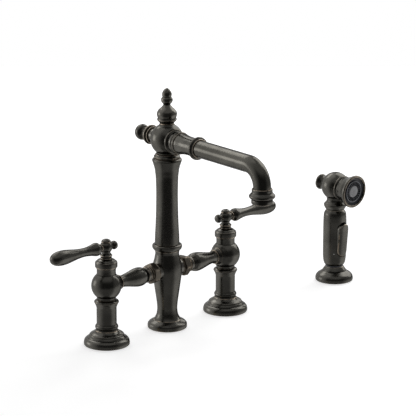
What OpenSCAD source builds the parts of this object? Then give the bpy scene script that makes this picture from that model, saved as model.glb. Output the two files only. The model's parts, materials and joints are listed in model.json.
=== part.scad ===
// Two-handle bridge faucet with a swivelling spout and a side spray.
// Millimetres. The origin is on the centre column's axis at the deck, +Z is up,
// +X runs along the deck towards the side spray and -Y is the sink side.

/* [Layout] */
// Distance between the two valve axes
valve_span = 203.2; // [196:0.1:230]
// Distance from the column axis to the side spray axis
spray_x = 304.8; // [240:0.1:360]
// Height of the bridge axis over the deck
bridge_z = 75.1; // [70:0.1:90]
// Thickness of the deck that the faucet is clamped to
deck_t = 30; // [15:1:34]
// Length of every supply shank below the deck
shank_drop = 62; // [62:1:90]
// Turn of the spout away from square to the bridge
spout_turn = -6; // [-60:1:60]

/* [Column] */
// Radius of the round foot of the column
foot_r = 24.7; // [23:0.1:30]
// Height of the foot
foot_h = 11; // [9:0.5:14]
// Largest radius of the vase shaped centre body
vase_r = 18.3; // [17:0.1:21]
// Smallest radius of the centre body
vase_waist_r = 12.6; // [12:0.1:14]
// Height of the centre body's top over the bridge axis
vase_rise = 25.5; // [23:0.5:35]
// Radius of the ring nut over the centre body
ring_nut_r = 18.6; // [17:0.1:22]
// Height of the ring nut
ring_nut_h = 7.8; // [6:0.2:12]
// Length of the column from the ring nut to its upper rim
column_h = 109.1; // [95:1:160]
// Radius of the column at its waist
column_r = 13.5; // [13:0.1:15]
// Radius of the column's upper rim
column_rim_r = 18.45; // [17.5:0.05:21]
// Height of the round collar between column and spout ball
collar_h = 5.7; // [4.5:0.1:8]

/* [Spout] */
// Radius of the ball that the spout turns with
ball_r = 20.5; // [20:0.1:23]
// Distance from the column axis to the outlet axis
spout_reach = 184.4; // [150:1:240]
// Outer diameter of the spout tube
spout_d = 21.4; // [20:0.1:22.4]
// Wall of the spout tube
spout_wall = 1.3; // [0.8:0.1:2]
// Bend radius of the spout tube's centre line
bend_r = 25; // [20:0.5:40]
// Height of the outlet shell
outlet_h = 18.8; // [17:0.2:26]
// Height of the finial over the spout ball
finial_h = 44; // [38:0.5:60]
// Largest radius of the finial
finial_r = 12.5; // [11.8:0.1:16]

/* [Bridge] */
// Largest radius of the bridge arms
arm_r = 11.9; // [11:0.1:14]
// Smallest radius of the bridge arms
arm_neck_r = 7.45; // [7.2:0.05:9]
// Width across the flats of the union nuts
union_flats = 23.4; // [22:0.1:27]
// Radius of the water way in the bridge
way_r = 5; // [3.5:0.1:5.2]

/* [Valves] */
// Radius of the round flange under each valve
flange_r = 28.3; // [26:0.1:32]
// Height of the flange
flange_h = 18.6; // [17:0.2:22]
// Radius of the riser sleeve
sleeve_r = 12.35; // [12:0.05:13]
// Radius of the valve ball
valve_ball_r = 18.6; // [18:0.1:20]
// Radius of the bonnet over the cartridge
bonnet_r = 13.75; // [13:0.05:15]
// Height of the bonnet
bonnet_h = 10.5; // [10:0.1:14]
// Outer radius of the half inch supply thread
supply_r = 10.48; // [10:0.02:10.6]
// Outer radius of the cartridge
cartridge_r = 8.5; // [8:0.1:8.8]

/* [Handles] */
// Height of the lever axis over the bonnet
lever_rise = 14.8; // [14:0.1:20]
// Radius of the hub ball
hub_r = 7.8; // [7.2:0.1:8.5]
// Length of the lever from the hub axis to its tip
lever_l = 88; // [70:0.5:120]
// Largest radius of the lever
lever_r = 9.1; // [8:0.1:11]
// Radius of the stem
stem_r = 3.5; // [3:0.1:4]

/* [Side spray] */
// Radius of the spray holder's flange
holder_r = 25; // [23:0.1:30]
// Height of the holder
holder_h = 19.5; // [18:0.5:26]
// Radius of the grip
grip_r = 15.45; // [15:0.05:17]
// Length of the grip
grip_h = 75; // [70:1:100]
// Radius of the spray head's ball
head_r = 18.7; // [18:0.1:21]
// Height of the spray head's axis over the grip
head_rise = 31.8; // [30:0.1:40]
// Radius of the spray face's rim
bell_r = 21.5; // [20.6:0.1:25]
// Downward tilt of the spray face in degrees
head_tilt = 3; // [0:0.5:8]
// Distance from the grip axis to the spray face
bell_l = 35; // [34:0.1:42]
// Width of the trigger paddle
trigger_w = 17.4; // [14:0.1:18]
// Length of the trigger paddle
trigger_l = 45; // [40:0.5:50]
// Swing of the trigger paddle in degrees
trigger_swing = 5; // [3:0.5:6]
// Number of ribs on the spray face
face_ribs = 36; // [20:1:48]

/* [Hidden] */

// Radial clearance where one piece turns or slides in another
run_gap = 0.05;
// Gap left between pieces that only come close to each other
near_gap = 0.3;
// Radial gap of a screwed or pushed joint between pieces of one body
join_gap = 0.1;
// Overshoot of a cutter past the face that it opens
cut = 1;
fine = 96;

bronze = "#35322e";
brass = "#a98a4e";
rubber = "#202020";
plastic = "#3b4048";
ceramic = "#d8d6cf";

valve_x = valve_span / 2;

// Outlines are lists of [radius, height]; a smooth one runs through its knots
function blend(a, b, c, d, t) = 0.5 * (2 * b + (c - a) * t
  + (2 * a - 5 * b + 4 * c - d) * t * t + (3 * b - a - 3 * c + d) * t * t * t);
function smooth(k, n = 4) = concat([for (i = [0 : len(k) - 2]) for (j = [0 : n - 1])
  blend(k[max(i - 1, 0)], k[i], k[i + 1], k[min(i + 2, len(k) - 1)], j / n)], [k[len(k) - 1]]);
// An arc about a centre on the axis, from angle a to angle b, as part of an outline
function ball_arc(r, z, a, b, n = 14) = [for (i = [0 : n]) let (t = a + (b - a) * i / n)
  [r * cos(t), z + r * sin(t)]];
function lifted(o, z) = [for (p = o) [p[0], p[1] + z]];
function stretched(o, kr, kz) = [for (p = o) [p[0] * kr, p[1] * kz]];
function on_axis(o) = concat([[0, o[0][1]]], o, [[0, o[len(o) - 1][1]]]);

module turned(o) {
  rotate_extrude($fn = fine) polygon(on_axis(o));
}
module drill(r, z0, z1) {
  translate([0, 0, z0]) cylinder(r = r, h = z1 - z0, $fn = fine);
}
module ring(r_out, r_in, z0, z1) {
  difference() {
    drill(r_out, z0, z1);
    drill(r_in, z0 - cut, z1 + cut);
  }
}
// Lays what is drawn along +Z along +X, along -Y or along +Y
module along_x() {
  rotate([0, 90, 0]) children();
}
module along_front() {
  rotate([90, 0, 0]) children();
}
module along_back() {
  rotate([-90, 0, 0]) children();
}
// Draws the right side's shape, or for side = -1 its mirror image on the left
module on_side(side) {
  mirror([side < 0 ? 1 : 0, 0, 0]) children();
}
module both_sides() {
  for (side = [-1, 1]) on_side(side) children();
}
// A hexagonal nut from z0 to z1, with chamfered corners
module hex_nut(flats, r_in, z0, z1, chamfer) {
  corner = flats / 2 / cos(30);
  difference() {
    intersection() {
      translate([0, 0, z0]) cylinder(r = corner, h = z1 - z0, $fn = 6);
      turned([[corner - chamfer, z0], [corner, z0 + chamfer], [corner, z1 - chamfer],
        [corner - chamfer, z1]]);
    }
    drill(r_in, z0 - cut, z1 + cut);
  }
}

// Deck hardware, the same at each of the four shanks
gasket_t = 2;
gasket_r = 20;
washer_t = 3;
washer_r = 18;
nut_h = 8;
nut_flats = 34;
washer_z = -deck_t;
nut_z = washer_z - washer_t;
shank_hole_r = supply_r + join_gap;
shank_x = [-valve_x, 0, valve_x, spray_x];
// The hose end of a shank, below the stretch that takes the nut
end_l = 16;
relief_l = 2;
end_z = -shank_drop + end_l;

module at_shanks() {
  for (x = shank_x) translate([x, 0, 0]) children();
}
// The recess under a flange for the gasket, and the hole for the shank
module flange_recess(top) {
  drill(gasket_r + join_gap, -cut, gasket_t);
  drill(shank_hole_r, -cut, top + cut);
}
module base_gaskets() {
  color(rubber) at_shanks() ring(gasket_r, shank_hole_r, 0, gasket_t);
}
module mounting_washers() {
  color(rubber) at_shanks() ring(washer_r, shank_hole_r, nut_z, washer_z);
}
module mounting_nuts() {
  color(brass) at_shanks() hex_nut(nut_flats, shank_hole_r, nut_z - nut_h, nut_z, 1.6);
}

// Centre column, from the deck to the collar under the spout
vase_top = bridge_z + vase_rise;
ring_nut_top = vase_top + ring_nut_h;
column_top = ring_nut_top + column_h;
collar_top = column_top + collar_h;
ball_neck_r = 13.2;
ball_neck_h = 1.9;
ball_neck_z = collar_top + near_gap;
spout_z = ball_neck_z + ball_neck_h + sqrt(ball_r * ball_r - ball_neck_r * ball_neck_r);
vase_bore_r = 8.5;
column_bore_r = 10;
column_spigot_r = 12;
column_spigot_l = 10;
post_r = 9.5;
post_seat_l = 16;
union_boss_r = 10.4;
union_x = 20.8;
nipple_r = 7;
nipple_x = 14;
shank_spigot_l = 10;

module centre_foot() {
  color(bronze) difference() {
    turned(smooth([[foot_r - 1.4, 0], [foot_r - 0.2, 1], [foot_r, 2.4], [foot_r, foot_h - 6.4],
      [foot_r - 0.4, foot_h - 4.8], [foot_r - 1.6, foot_h - 3.3], [foot_r - 3.4, foot_h - 2],
      [foot_r - 5.6, foot_h - 0.8], [foot_r - 7, foot_h]]));
    flange_recess(foot_h);
  }
}

vase_outline = smooth([[foot_r - 7.3, foot_h], [vase_waist_r + 3, foot_h + 2.3],
  [vase_waist_r + 1.1, foot_h + 6.4], [vase_waist_r + 0.3, foot_h + 10.6],
  [vase_waist_r, foot_h + 15.4], [vase_waist_r + 0.7, bridge_z - 40.6],
  [vase_waist_r + 2.2, bridge_z - 30.2], [vase_r - 2, bridge_z - 19.8],
  [vase_r - 0.6, bridge_z - 9.4], [vase_r, bridge_z - 0.1], [vase_r - 0.7, bridge_z + 8.2],
  [vase_r - 2.1, bridge_z + 13.9], [vase_r - 3.25, vase_top - 5.8],
  [vase_r - 3.4, vase_top - 3.8], [vase_r - 3.1, vase_top - 2], [vase_r - 2.6, vase_top]]);

module centre_body() {
  color(bronze) difference() {
    union() {
      turned(vase_outline);
      translate([0, 0, bridge_z]) both_sides() along_x()
        turned([[union_boss_r, 5], [union_boss_r, union_x - 0.8], [union_boss_r - 0.8, union_x]]);
    }
    drill(vase_bore_r, foot_h - cut, vase_top + cut);
    drill(column_spigot_r + join_gap, vase_top - column_spigot_l, vase_top + cut);
    translate([0, 0, bridge_z]) both_sides() along_x() {
      drill(way_r, 0, union_x + cut);
      drill(nipple_r + join_gap, nipple_x, union_x + cut);
    }
  }
}

module ring_nut() {
  color(bronze) difference() {
    turned(lifted(smooth([[ring_nut_r - 2.8, 0], [ring_nut_r - 1.9, 0.8], [ring_nut_r - 0.8, 2],
      [ring_nut_r - 0.2, 3.4], [ring_nut_r, ring_nut_h - 2.8], [ring_nut_r - 0.1, ring_nut_h - 1.6],
      [ring_nut_r - 0.8, ring_nut_h - 0.6], [ring_nut_r - 2.2, ring_nut_h]]), vase_top));
    drill(column_spigot_r + join_gap, vase_top - cut, ring_nut_top + cut);
  }
}

module column_tube() {
  color(bronze) difference() {
    union() {
      drill(column_spigot_r, vase_top - column_spigot_l, ring_nut_top + cut);
      turned(smooth([[column_r + 1.9, ring_nut_top],
        [column_r + 1.62, ring_nut_top + 0.098 * column_h],
        [column_r + 0.93, ring_nut_top + 0.215 * column_h],
        [column_r + 0.42, ring_nut_top + 0.332 * column_h],
        [column_r + 0.16, ring_nut_top + 0.449 * column_h],
        [column_r, ring_nut_top + 0.588 * column_h],
        [column_r + 0.19, column_top - 33.7], [column_r + 0.55, column_top - 23.6],
        [column_r + 1.1, column_top - 18.5], [column_rim_r - 3.2, column_top - 13.4],
        [column_rim_r - 1.8, column_top - 8.3], [column_rim_r - 0.2, column_top - 3.4],
        [column_rim_r, column_top - 2.4], [column_rim_r - 0.2, column_top - 1.4],
        [column_rim_r - 0.8, column_top - 0.6], [column_rim_r - 1.8, column_top]]));
    }
    drill(column_bore_r, vase_top - column_spigot_l - cut, column_top + cut);
  }
}

module swivel_collar() {
  color(bronze) difference() {
    turned(lifted(smooth([[15.7, 0], [15.8, 0.9], [16.3, 1.8], [16.3, 2.7], [15.7, collar_h - 2.1],
      [14.8, collar_h - 1.2], [14.4, collar_h]]), column_top));
    drill(post_r + join_gap, column_top - cut, collar_top + cut);
  }
}

// The brass post that the spout ball turns on
stud_r = 5;
shoulder_z = spout_z + 7.2;
stud_top = spout_z + 16.6;
chamber_h = 5.2;
o_ring_h = 2.4;
o_ring_in_r = 8.2;
o_ring_z = [spout_z - 14.4, spout_z - 9];

module swivel_post() {
  color(brass) difference() {
    union() {
      drill(column_bore_r - join_gap, column_top - post_seat_l, column_top);
      drill(post_r, column_top - cut, shoulder_z);
      drill(stud_r, shoulder_z - cut, stud_top);
    }
    drill(7, column_top - post_seat_l - cut, spout_z + chamber_h);
    translate([0, 0, spout_z]) for (a = [0 : 90 : 270]) rotate([0, 0, a]) along_x() drill(4, 0, post_r + cut);
    for (z = o_ring_z) difference() {
      drill(post_r + cut, z, z + o_ring_h);
      drill(o_ring_in_r, z - cut, z + o_ring_h + cut);
    }
  }
}
module swivel_o_rings() {
  color(rubber) for (z = o_ring_z) ring(post_r, o_ring_in_r, z, z + o_ring_h);
}
retainer_flats = 12.4;
retainer_z = shoulder_z + 4;
module swivel_retainer() {
  color(brass) hex_nut(retainer_flats, stud_r + join_gap, retainer_z + near_gap,
    retainer_z + near_gap + 4.2, 0.8);
}

// The diverter that sends water to the side spray, inside the centre body
diverter_z = foot_h + shank_spigot_l + 2;
diverter_h = 36;
diverter_wall = 1.8;
diverter_r = vase_bore_r - join_gap;
diverter_bore_r = diverter_r - diverter_wall;
diverter_floor = 4;
piston_z = diverter_z + diverter_floor + near_gap;
piston_h = 12;

module diverter_body() {
  color(plastic) difference() {
    drill(diverter_r, diverter_z, diverter_z + diverter_h);
    drill(diverter_bore_r, diverter_z + diverter_floor, diverter_z + diverter_h - 2);
    drill(3.5, diverter_z - cut, diverter_z + diverter_h + cut);
  }
}
module diverter_piston() {
  color(brass) difference() {
    drill(diverter_bore_r - run_gap, piston_z, piston_z + piston_h);
    drill(2.5, piston_z + 4, piston_z + piston_h + cut);
  }
}
module diverter_spring() {
  color("silver") ring(diverter_bore_r - 0.4, diverter_bore_r - 1.4,
    piston_z + piston_h + 0.1, diverter_z + diverter_h - 2);
}

// Threaded shanks; the threads are drawn as plain cylinders at their outer size
spray_thread_r = 6.58;
module centre_shank() {
  color(brass) difference() {
    union() {
      drill(supply_r, end_z, foot_h);
      drill(vase_bore_r - join_gap, foot_h - cut, foot_h + shank_spigot_l);
      drill(spray_thread_r, -shank_drop, end_z + cut);
    }
    drill(4.4, -shank_drop - cut, foot_h + shank_spigot_l + cut);
  }
}

sleeve_top = bridge_z - 17.8;
valve_spigot_r = 8.5;
valve_spigot_l = 8;
module supply_shanks() {
  color(brass) both_sides() translate([valve_x, 0, 0]) difference() {
    union() {
      drill(supply_r, -shank_drop, end_z);
      drill(supply_r - 0.8, end_z - cut, end_z + relief_l + cut);
      drill(supply_r, end_z + relief_l, sleeve_top);
      drill(valve_spigot_r, sleeve_top - cut, sleeve_top + valve_spigot_l);
    }
    drill(6, -shank_drop - cut, sleeve_top + valve_spigot_l + cut);
  }
}

// Flanges and sleeves that cover the supply shanks
module flanges() {
  color(bronze) both_sides() translate([valve_x, 0, 0]) difference() {
    turned(concat(smooth([[flange_r - 1.6, 0], [flange_r - 0.4, 0.9], [flange_r, 2.6],
      [flange_r - 0.25, 5], [flange_r - 1.15, 7.4], [flange_r - 3, flange_h - 9.4]]),
      smooth([[flange_r - 4.8, flange_h - 8.9], [flange_r - 5.3, flange_h - 8],
      [flange_r - 5.8, flange_h - 7.1], [flange_r - 6.5, flange_h - 6.2]]),
      smooth([[flange_r - 6.9, flange_h - 5.9], [flange_r - 7.4, flange_h - 4.6],
      [flange_r - 9.1, flange_h - 3.4], [flange_r - 11.2, flange_h - 2.3],
      [sleeve_r + 3.4, flange_h - 1.2], [sleeve_r + 2.1, flange_h]])));
    flange_recess(flange_h);
  }
}
module riser_sleeves() {
  color(bronze) both_sides() translate([valve_x, 0, 0]) difference() {
    turned(concat(smooth([[sleeve_r + 1.8, flange_h], [sleeve_r + 1.1, flange_h + 1.2],
      [sleeve_r + 1.1, flange_h + 2.2], [sleeve_r + 1.6, flange_h + 3.2],
      [sleeve_r + 1.95, flange_h + 4.4], [sleeve_r + 1.6, flange_h + 5.8],
      [sleeve_r + 0.7, flange_h + 7.1], [sleeve_r, flange_h + 8.4]]),
      smooth([[sleeve_r, sleeve_top - 10], [sleeve_r + 0.3, sleeve_top - 8.6],
      [sleeve_r + 0.85, sleeve_top - 7.3], [sleeve_r + 1.3, sleeve_top - 6],
      [sleeve_r + 1.9, sleeve_top - 4.8], [sleeve_r + 2.6, sleeve_top - 3.5],
      [sleeve_r + 2.85, sleeve_top - 2.4], [sleeve_r + 2.2, sleeve_top - 1.2],
      [sleeve_r + 0.2, sleeve_top]])));
    drill(shank_hole_r, flange_h - cut, sleeve_top + cut);
  }
}

// Valve bodies, with the boss that carries the bridge arm
valve_top = bridge_z + 23.2;
boss_l = 21.2;
arm_spigot_r = 6;
arm_spigot_l = 7;
cartridge_z = bridge_z - 6.2;
module valve_body(side) {
  color(bronze) on_side(side) translate([valve_x, 0, 0]) difference() {
    union() {
      turned(concat(smooth([[11.3, sleeve_top], [11.5, sleeve_top + 1.4],
        [valve_ball_r * cos(46) - 0.8, bridge_z - valve_ball_r * sin(46) - 0.8]]),
        ball_arc(valve_ball_r, bridge_z, -46, 51),
        smooth([[11.7, bridge_z + 15.3], [11.7, valve_top - 3.4], [11.9, valve_top - 2],
        [12.4, valve_top - 1], [12.5, valve_top]])));
      translate([0, 0, bridge_z]) mirror([1, 0, 0]) along_x()
        turned(smooth([[11, boss_l - 6.4], [9.4, boss_l - 4], [8.6, boss_l - 2.9],
          [8.4, boss_l - 2.3], [8.9, boss_l - 1.6], [9.1, boss_l - 0.9], [8.9, boss_l - 0.4],
          [8.2, boss_l]]));
    }
    drill(valve_spigot_r + join_gap, sleeve_top - cut, sleeve_top + valve_spigot_l + near_gap);
    drill(6, sleeve_top, bridge_z);
    drill(cartridge_r + join_gap, cartridge_z, valve_top + cut);
    translate([0, 0, bridge_z]) mirror([1, 0, 0]) along_x() {
      drill(way_r, 0, boss_l + cut);
      drill(arm_spigot_r + join_gap, boss_l - arm_spigot_l - near_gap, boss_l + cut);
    }
  }
}
module valve_body_left() { valve_body(-1); }
module valve_body_right() { valve_body(1); }

// The bridge: two turned arms, held to the centre body by union nuts
nut_x = union_x + 0.2;
arm_x = union_x + 13.4;
arm_end = valve_x - boss_l;
arm_l = arm_end - arm_x;
disc_r = 9.8;
bulge_l = arm_l - 7.2;
module bridge_arm(side) {
  color(bronze) on_side(side) translate([0, 0, bridge_z]) along_x() difference() {
    union() {
      turned(lifted(concat(smooth([[disc_r - 0.8, 0], [disc_r, 0.8], [disc_r, 3.7],
        [disc_r - 0.6, 4.4], [disc_r - 1.3, 5], [disc_r - 1.2, 5.8], [disc_r - 0.3, 7]]),
        smooth([[arm_r - 0.8, 7.2 + 0.06 * bulge_l], [arm_r, 7.2 + 0.16 * bulge_l],
        [arm_r - 0.3, 7.2 + 0.3 * bulge_l], [arm_r - 1.4, 7.2 + 0.45 * bulge_l],
        [arm_neck_r + 1.75, 7.2 + 0.6 * bulge_l], [arm_neck_r + 0.6, 7.2 + 0.75 * bulge_l],
        [arm_neck_r, 7.2 + 0.88 * bulge_l], [arm_neck_r + 0.3, arm_l]])), arm_x));
      drill(arm_spigot_r, arm_end - cut, arm_end + arm_spigot_l);
    }
    drill(way_r - 0.4, arm_x - cut, arm_end + arm_spigot_l + cut);
  }
}
module bridge_arm_left() { bridge_arm(-1); }
module bridge_arm_right() { bridge_arm(1); }
module on_bridge() {
  translate([0, 0, bridge_z]) both_sides() along_x() children();
}
module union_nuts() {
  color(bronze) on_bridge() hex_nut(union_flats, nipple_r + join_gap, nut_x, arm_x - 0.2, 2.2);
}
module union_nipples() {
  color(brass) on_bridge() ring(nipple_r, way_r - 0.4, nipple_x + 0.2, arm_x - 0.6);
}
module union_gaskets() {
  color(rubber) on_bridge() ring(nipple_r - 0.1, way_r, arm_x - 0.55, arm_x - 0.05);
}

// Quarter turn cartridges, their fixed discs and the bonnets over them
disc_t = 3;
disc_gap = 0.05;
cavity_r = cartridge_r - 1;
cavity_h = 2 * disc_t + disc_gap + near_gap;
cap_t = 2;
bonnet_top = valve_top + bonnet_h;
module cartridges() {
  color(plastic) both_sides() translate([valve_x, 0, 0]) difference() {
    union() {
      drill(cartridge_r, cartridge_z + 0.05, valve_top + cut);
      drill(cartridge_r + 1.7, valve_top, valve_top + cap_t);
    }
    drill(cavity_r, cartridge_z - cut, cartridge_z + cavity_h);
    drill(stem_r + run_gap, cartridge_z, valve_top + cap_t + cut);
  }
}
module disc_with_ports(r, z) {
  difference() {
    drill(r, z, z + disc_t);
    for (x = [-1, 1]) translate([x * 3.8, 0, 0]) drill(2.2, z - cut, z + disc_t + cut);
  }
}
module fixed_discs() {
  color(ceramic) both_sides() translate([valve_x, 0, 0])
    disc_with_ports(cavity_r - join_gap, cartridge_z + 0.05);
}
module bonnets() {
  color(bronze) both_sides() translate([valve_x, 0, 0]) difference() {
    turned(lifted(smooth([[bonnet_r - 0.9, 0], [bonnet_r - 0.1, 0.7], [bonnet_r, 1.8],
      [bonnet_r, bonnet_h - 5.4], [bonnet_r - 0.15, bonnet_h - 4.1], [bonnet_r - 0.7, bonnet_h - 3.3],
      [bonnet_r - 1.9, bonnet_h - 2.6], [bonnet_r - 2.7, bonnet_h - 1.6],
      [bonnet_r - 3.9, bonnet_h - 0.8], [bonnet_r - 5.9, bonnet_h]]), valve_top));
    drill(cartridge_r + 1.8, valve_top - cut, valve_top + cap_t + 0.1);
    drill(stem_r + run_gap, valve_top, bonnet_top + cut);
  }
}

// Handles: stem with its moving disc, hub, cap screw, lever and counter knob
lever_z = bonnet_top + lever_rise;
hub_z = bonnet_top + near_gap;
hub_top = 0.766 * hub_r;
screw_r = 1.9;
stem_top = lever_z + hub_top - 0.8;
lever_spigot_r = 3;
lever_seat_r = 4.2;
knob_spigot_r = 2.5;
knob_seat_r = 3.1;
// Depth of the flats in the hub that the lever and the knob sit on
lever_sink = 0.9;
knob_sink = 0.6;
spigot_x = stem_r + 0.5;
module stem(side) {
  color(brass) on_side(side) translate([valve_x, 0, 0]) difference() {
    union() {
      disc_with_ports(cavity_r - near_gap, cartridge_z + 0.05 + disc_t + disc_gap);
      drill(stem_r, cartridge_z + 2 * disc_t, stem_top);
    }
    drill(screw_r + join_gap, lever_z - 3, stem_top + cut);
  }
}
module hub(side) {
  color(bronze) on_side(side) translate([valve_x, 0, 0]) difference() {
    turned(concat(smooth([[6.9, hub_z], [7.2, hub_z + 0.8], [6.7, hub_z + 1.7],
      [6.8, hub_z + 2.6], [7.5, hub_z + 3.6], [7.5, hub_z + 4.6], [6.7, hub_z + 5.5],
      [5.6, hub_z + 6.4], [5.3, hub_z + 7.4], [hub_r * cos(46), lever_z - hub_r * sin(46) - 0.4]]),
      ball_arc(hub_r, lever_z, -44, 50)));
    drill(stem_r + join_gap, hub_z - cut, stem_top + 0.1);
    drill(screw_r + join_gap, stem_top, lever_z + hub_r);
    translate([0, 0, lever_z]) along_x() {
      drill(lever_spigot_r + join_gap, stem_r, hub_r + cut);
      drill(lever_seat_r + join_gap, hub_r - lever_sink, hub_r + cut);
      drill(knob_spigot_r + join_gap, -hub_r - cut, -stem_r);
      drill(knob_seat_r + join_gap, -hub_r - cut, -hub_r + knob_sink);
    }
  }
}
module hub_cap(side) {
  color(bronze) on_side(side) translate([valve_x, 0, lever_z]) {
    turned(smooth([[0.72 * hub_r, hub_top], [0.76 * hub_r, hub_top + 0.6],
      [0.73 * hub_r, hub_top + 1.5], [0.6 * hub_r, hub_top + 2.8], [0.36 * hub_r, hub_top + 3.8],
      [0, hub_top + 4.1]]));
    drill(screw_r, -2.4, hub_top + cut);
  }
}
// Distance along the lever's tapering part, as a share of the real lever
function along_lever(d) = 21 + (d - 21) / 67 * (lever_l - 21);
module lever(side) {
  color(bronze) on_side(side) translate([valve_x, 0, lever_z]) along_x() {
    turned(concat([[lever_seat_r, hub_r - lever_sink]],
      smooth([[lever_seat_r, hub_r + 0.5], [5.3, hub_r + 1.4], [5.4, hub_r + 2.3], [4.6, hub_r + 3.3],
      [4.7, hub_r + 4]]),
      smooth([[5.6, 12.4], [7.4, 13.7], [8.1, 15.4], [8.2, 17], [8, 18.7], [7.4, 21],
      [6.5, along_lever(25.3)], [5.8, along_lever(30.4)], [5.5, along_lever(35.5)],
      [5.65, along_lever(40.6)], [6.2, along_lever(47.2)], [lever_r - 1.8, along_lever(54.7)],
      [lever_r - 0.65, along_lever(62.2)], [lever_r - 0.05, along_lever(67.8)],
      [lever_r, along_lever(72.5)], [lever_r - 0.45, along_lever(77.6)],
      [lever_r - 1.75, along_lever(82.3)], [lever_r - 3.9, along_lever(85.8)],
      [lever_r - 6.4, lever_l - 0.6], [0, lever_l]])));
    drill(lever_spigot_r, spigot_x, hub_r);
  }
}
module hub_knob(side) {
  color(bronze) on_side(side) translate([valve_x, 0, lever_z]) mirror([1, 0, 0]) along_x() {
    turned(lifted(smooth([[knob_seat_r, 0], [2.9, 1.1], [3.3, 2.2], [4.6, 3.2], [5.3, 4.5],
      [5.3, 6.2], [4.7, 7.8], [3.2, 8.8], [0, 9.3]]), hub_r - knob_sink));
    drill(knob_spigot_r, spigot_x, hub_r);
  }
}
module stem_left() { stem(-1); }
module stem_right() { stem(1); }
module hub_left() { hub(-1); }
module hub_right() { hub(1); }
module hub_cap_left() { hub_cap(-1); }
module hub_cap_right() { hub_cap(1); }
module lever_left() { lever(-1); }
module lever_right() { lever(1); }
module hub_knob_left() { hub_knob(-1); }
module hub_knob_right() { hub_knob(1); }

// Spout: everything here is drawn about the ball's centre, facing the sink
nut_t = 25.3;
nut_w = 4.3;
adapter_t = nut_t + nut_w + 0.1;
spout_spigot_r = 8.9;
spigot_t = 14.5;
socket_t = 52;
adapter_r = spout_d / 2 + 0.75;
rear_t = 27.2;
recess_r = 7.6;
ball_top = 20.2;
module in_spout() {
  translate([0, 0, spout_z]) rotate([0, 0, spout_turn]) children();
}
module spout_ball() {
  color(bronze) in_spout() difference() {
    union() {
      turned(concat([[ball_neck_r - 0.4, ball_neck_z - spout_z],
        [ball_neck_r, ball_neck_z - spout_z + 0.6]],
        ball_arc(ball_r, 0, -acos(ball_neck_r / ball_r), 57, 18),
        smooth([[10.1, ball_top - 2], [9.2, ball_top - 0.9], [9, ball_top]])));
      along_front() turned(smooth([[14.4, 11], [15.3, 14.2], [15.4, 15.8], [15, 16.9],
        [13.6, 17.8], [12.9, 18.6], [12.9, 19.3], [13.4, 20], [13.7, 21.2], [13.7, nut_t - 2],
        [13.3, nut_t - 0.8], [12.8, nut_t]]));
      along_back() turned([[8.8, 10], [8.8, rear_t - 0.5], [8.3, rear_t]]);
    }
    drill(post_r + run_gap, ball_neck_z - spout_z - cut, shoulder_z - spout_z + near_gap);
    drill(stud_r + run_gap, 0, ball_top);
    drill(12, -chamber_h, chamber_h);
    drill(recess_r, retainer_z - spout_z, ball_top + cut);
    along_front() drill(7.2, 0, nut_t + cut);
    along_front() drill(spout_spigot_r + join_gap, spigot_t - near_gap, nut_t + cut);
    along_back() drill(4.1, 20, rear_t + cut);
  }
}
module finial() {
  color(bronze) in_spout() {
    turned(lifted(stretched(smooth([[8.8, 0], [9.3, 1.2], [11, 3], [11.95, 4.2], [12.15, 5.2],
      [11.6, 6.5], [11.45, 7.5], [12.1, 9.1], [12.5, 11.2], [12.35, 12.9], [11.5, 15.3],
      [9.5, 17.8], [6.9, 20.3], [4.9, 22.9], [4.35, 24.1], [5.3, 26], [6.6, 27.7], [6.85, 29.3],
      [6.3, 31.4], [5.4, 33], [5.15, 34], [5.35, 36.4], [4.8, 39], [3.6, 41.4], [1.9, 43.3],
      [0, 44]]), finial_r / 12.5, finial_h / 44), ball_top));
    drill(recess_r - join_gap, ball_top - 3, ball_top + cut);
  }
}
module rear_knob() {
  color(bronze) in_spout() along_back() {
    turned(lifted(smooth([[9.2, 0], [10.4, 0.7], [10.6, 1.6], [9.7, 2.5], [9.9, 3.2], [11.9, 4],
      [12.3, 5], [11.9, 6.1], [9.6, 7.2], [6.6, 8.6], [5.2, 11], [5.1, 15.4], [6.2, 17.8],
      [8.8, 19.6], [9.8, 21.5], [9.9, 23.7], [9.3, 26.1], [7.7, 28.3], [4.7, 29.9], [0, 30.5]]),
      rear_t));
    drill(4, 20.4, rear_t + cut);
  }
}
module spout_nut() {
  color(bronze) in_spout() along_front() difference() {
    turned(lifted(smooth([[12.8, 0], [13.6, 0.6], [13.9, 1.6], [13.9, nut_w - 1.4],
      [13.5, nut_w - 0.5], [12.6, nut_w]]), nut_t));
    drill(spout_spigot_r + join_gap, nut_t - cut, nut_t + nut_w + cut);
  }
}
module spout_adapter() {
  color(bronze) in_spout() along_front() difference() {
    union() {
      turned(concat(smooth([[12.5, adapter_t], [12.9, adapter_t + 0.9], [12.6, 33.4],
        [adapter_r + 0.5, 38], [adapter_r + 0.1, 43], [adapter_r, 48], [adapter_r + 0.2, 53],
        [adapter_r + 0.6, 57.5], [adapter_r + 0.8, 59.6]]),
        smooth([[adapter_r + 2.1, 60.3], [adapter_r + 2.8, 61.5], [adapter_r + 2.8, 62.8],
        [adapter_r + 2.1, 63.9]]), smooth([[adapter_r + 0.9, 64.6], [adapter_r + 0.2, 66.3]])));
      drill(spout_spigot_r, spigot_t, adapter_t + cut);
    }
    drill(7.2, spigot_t - cut, socket_t + cut);
    drill(spout_d / 2 + join_gap, socket_t, 66.3 + cut);
  }
}
outlet_top = -bend_r;
outlet_z = outlet_top - outlet_h;
outlet_r = spout_d / 2 + 1.7;
tube_end = outlet_top - 9;
module tube_section() {
  difference() {
    circle(d = spout_d, $fn = fine);
    circle(d = spout_d - 2 * spout_wall, $fn = fine);
  }
}
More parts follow.
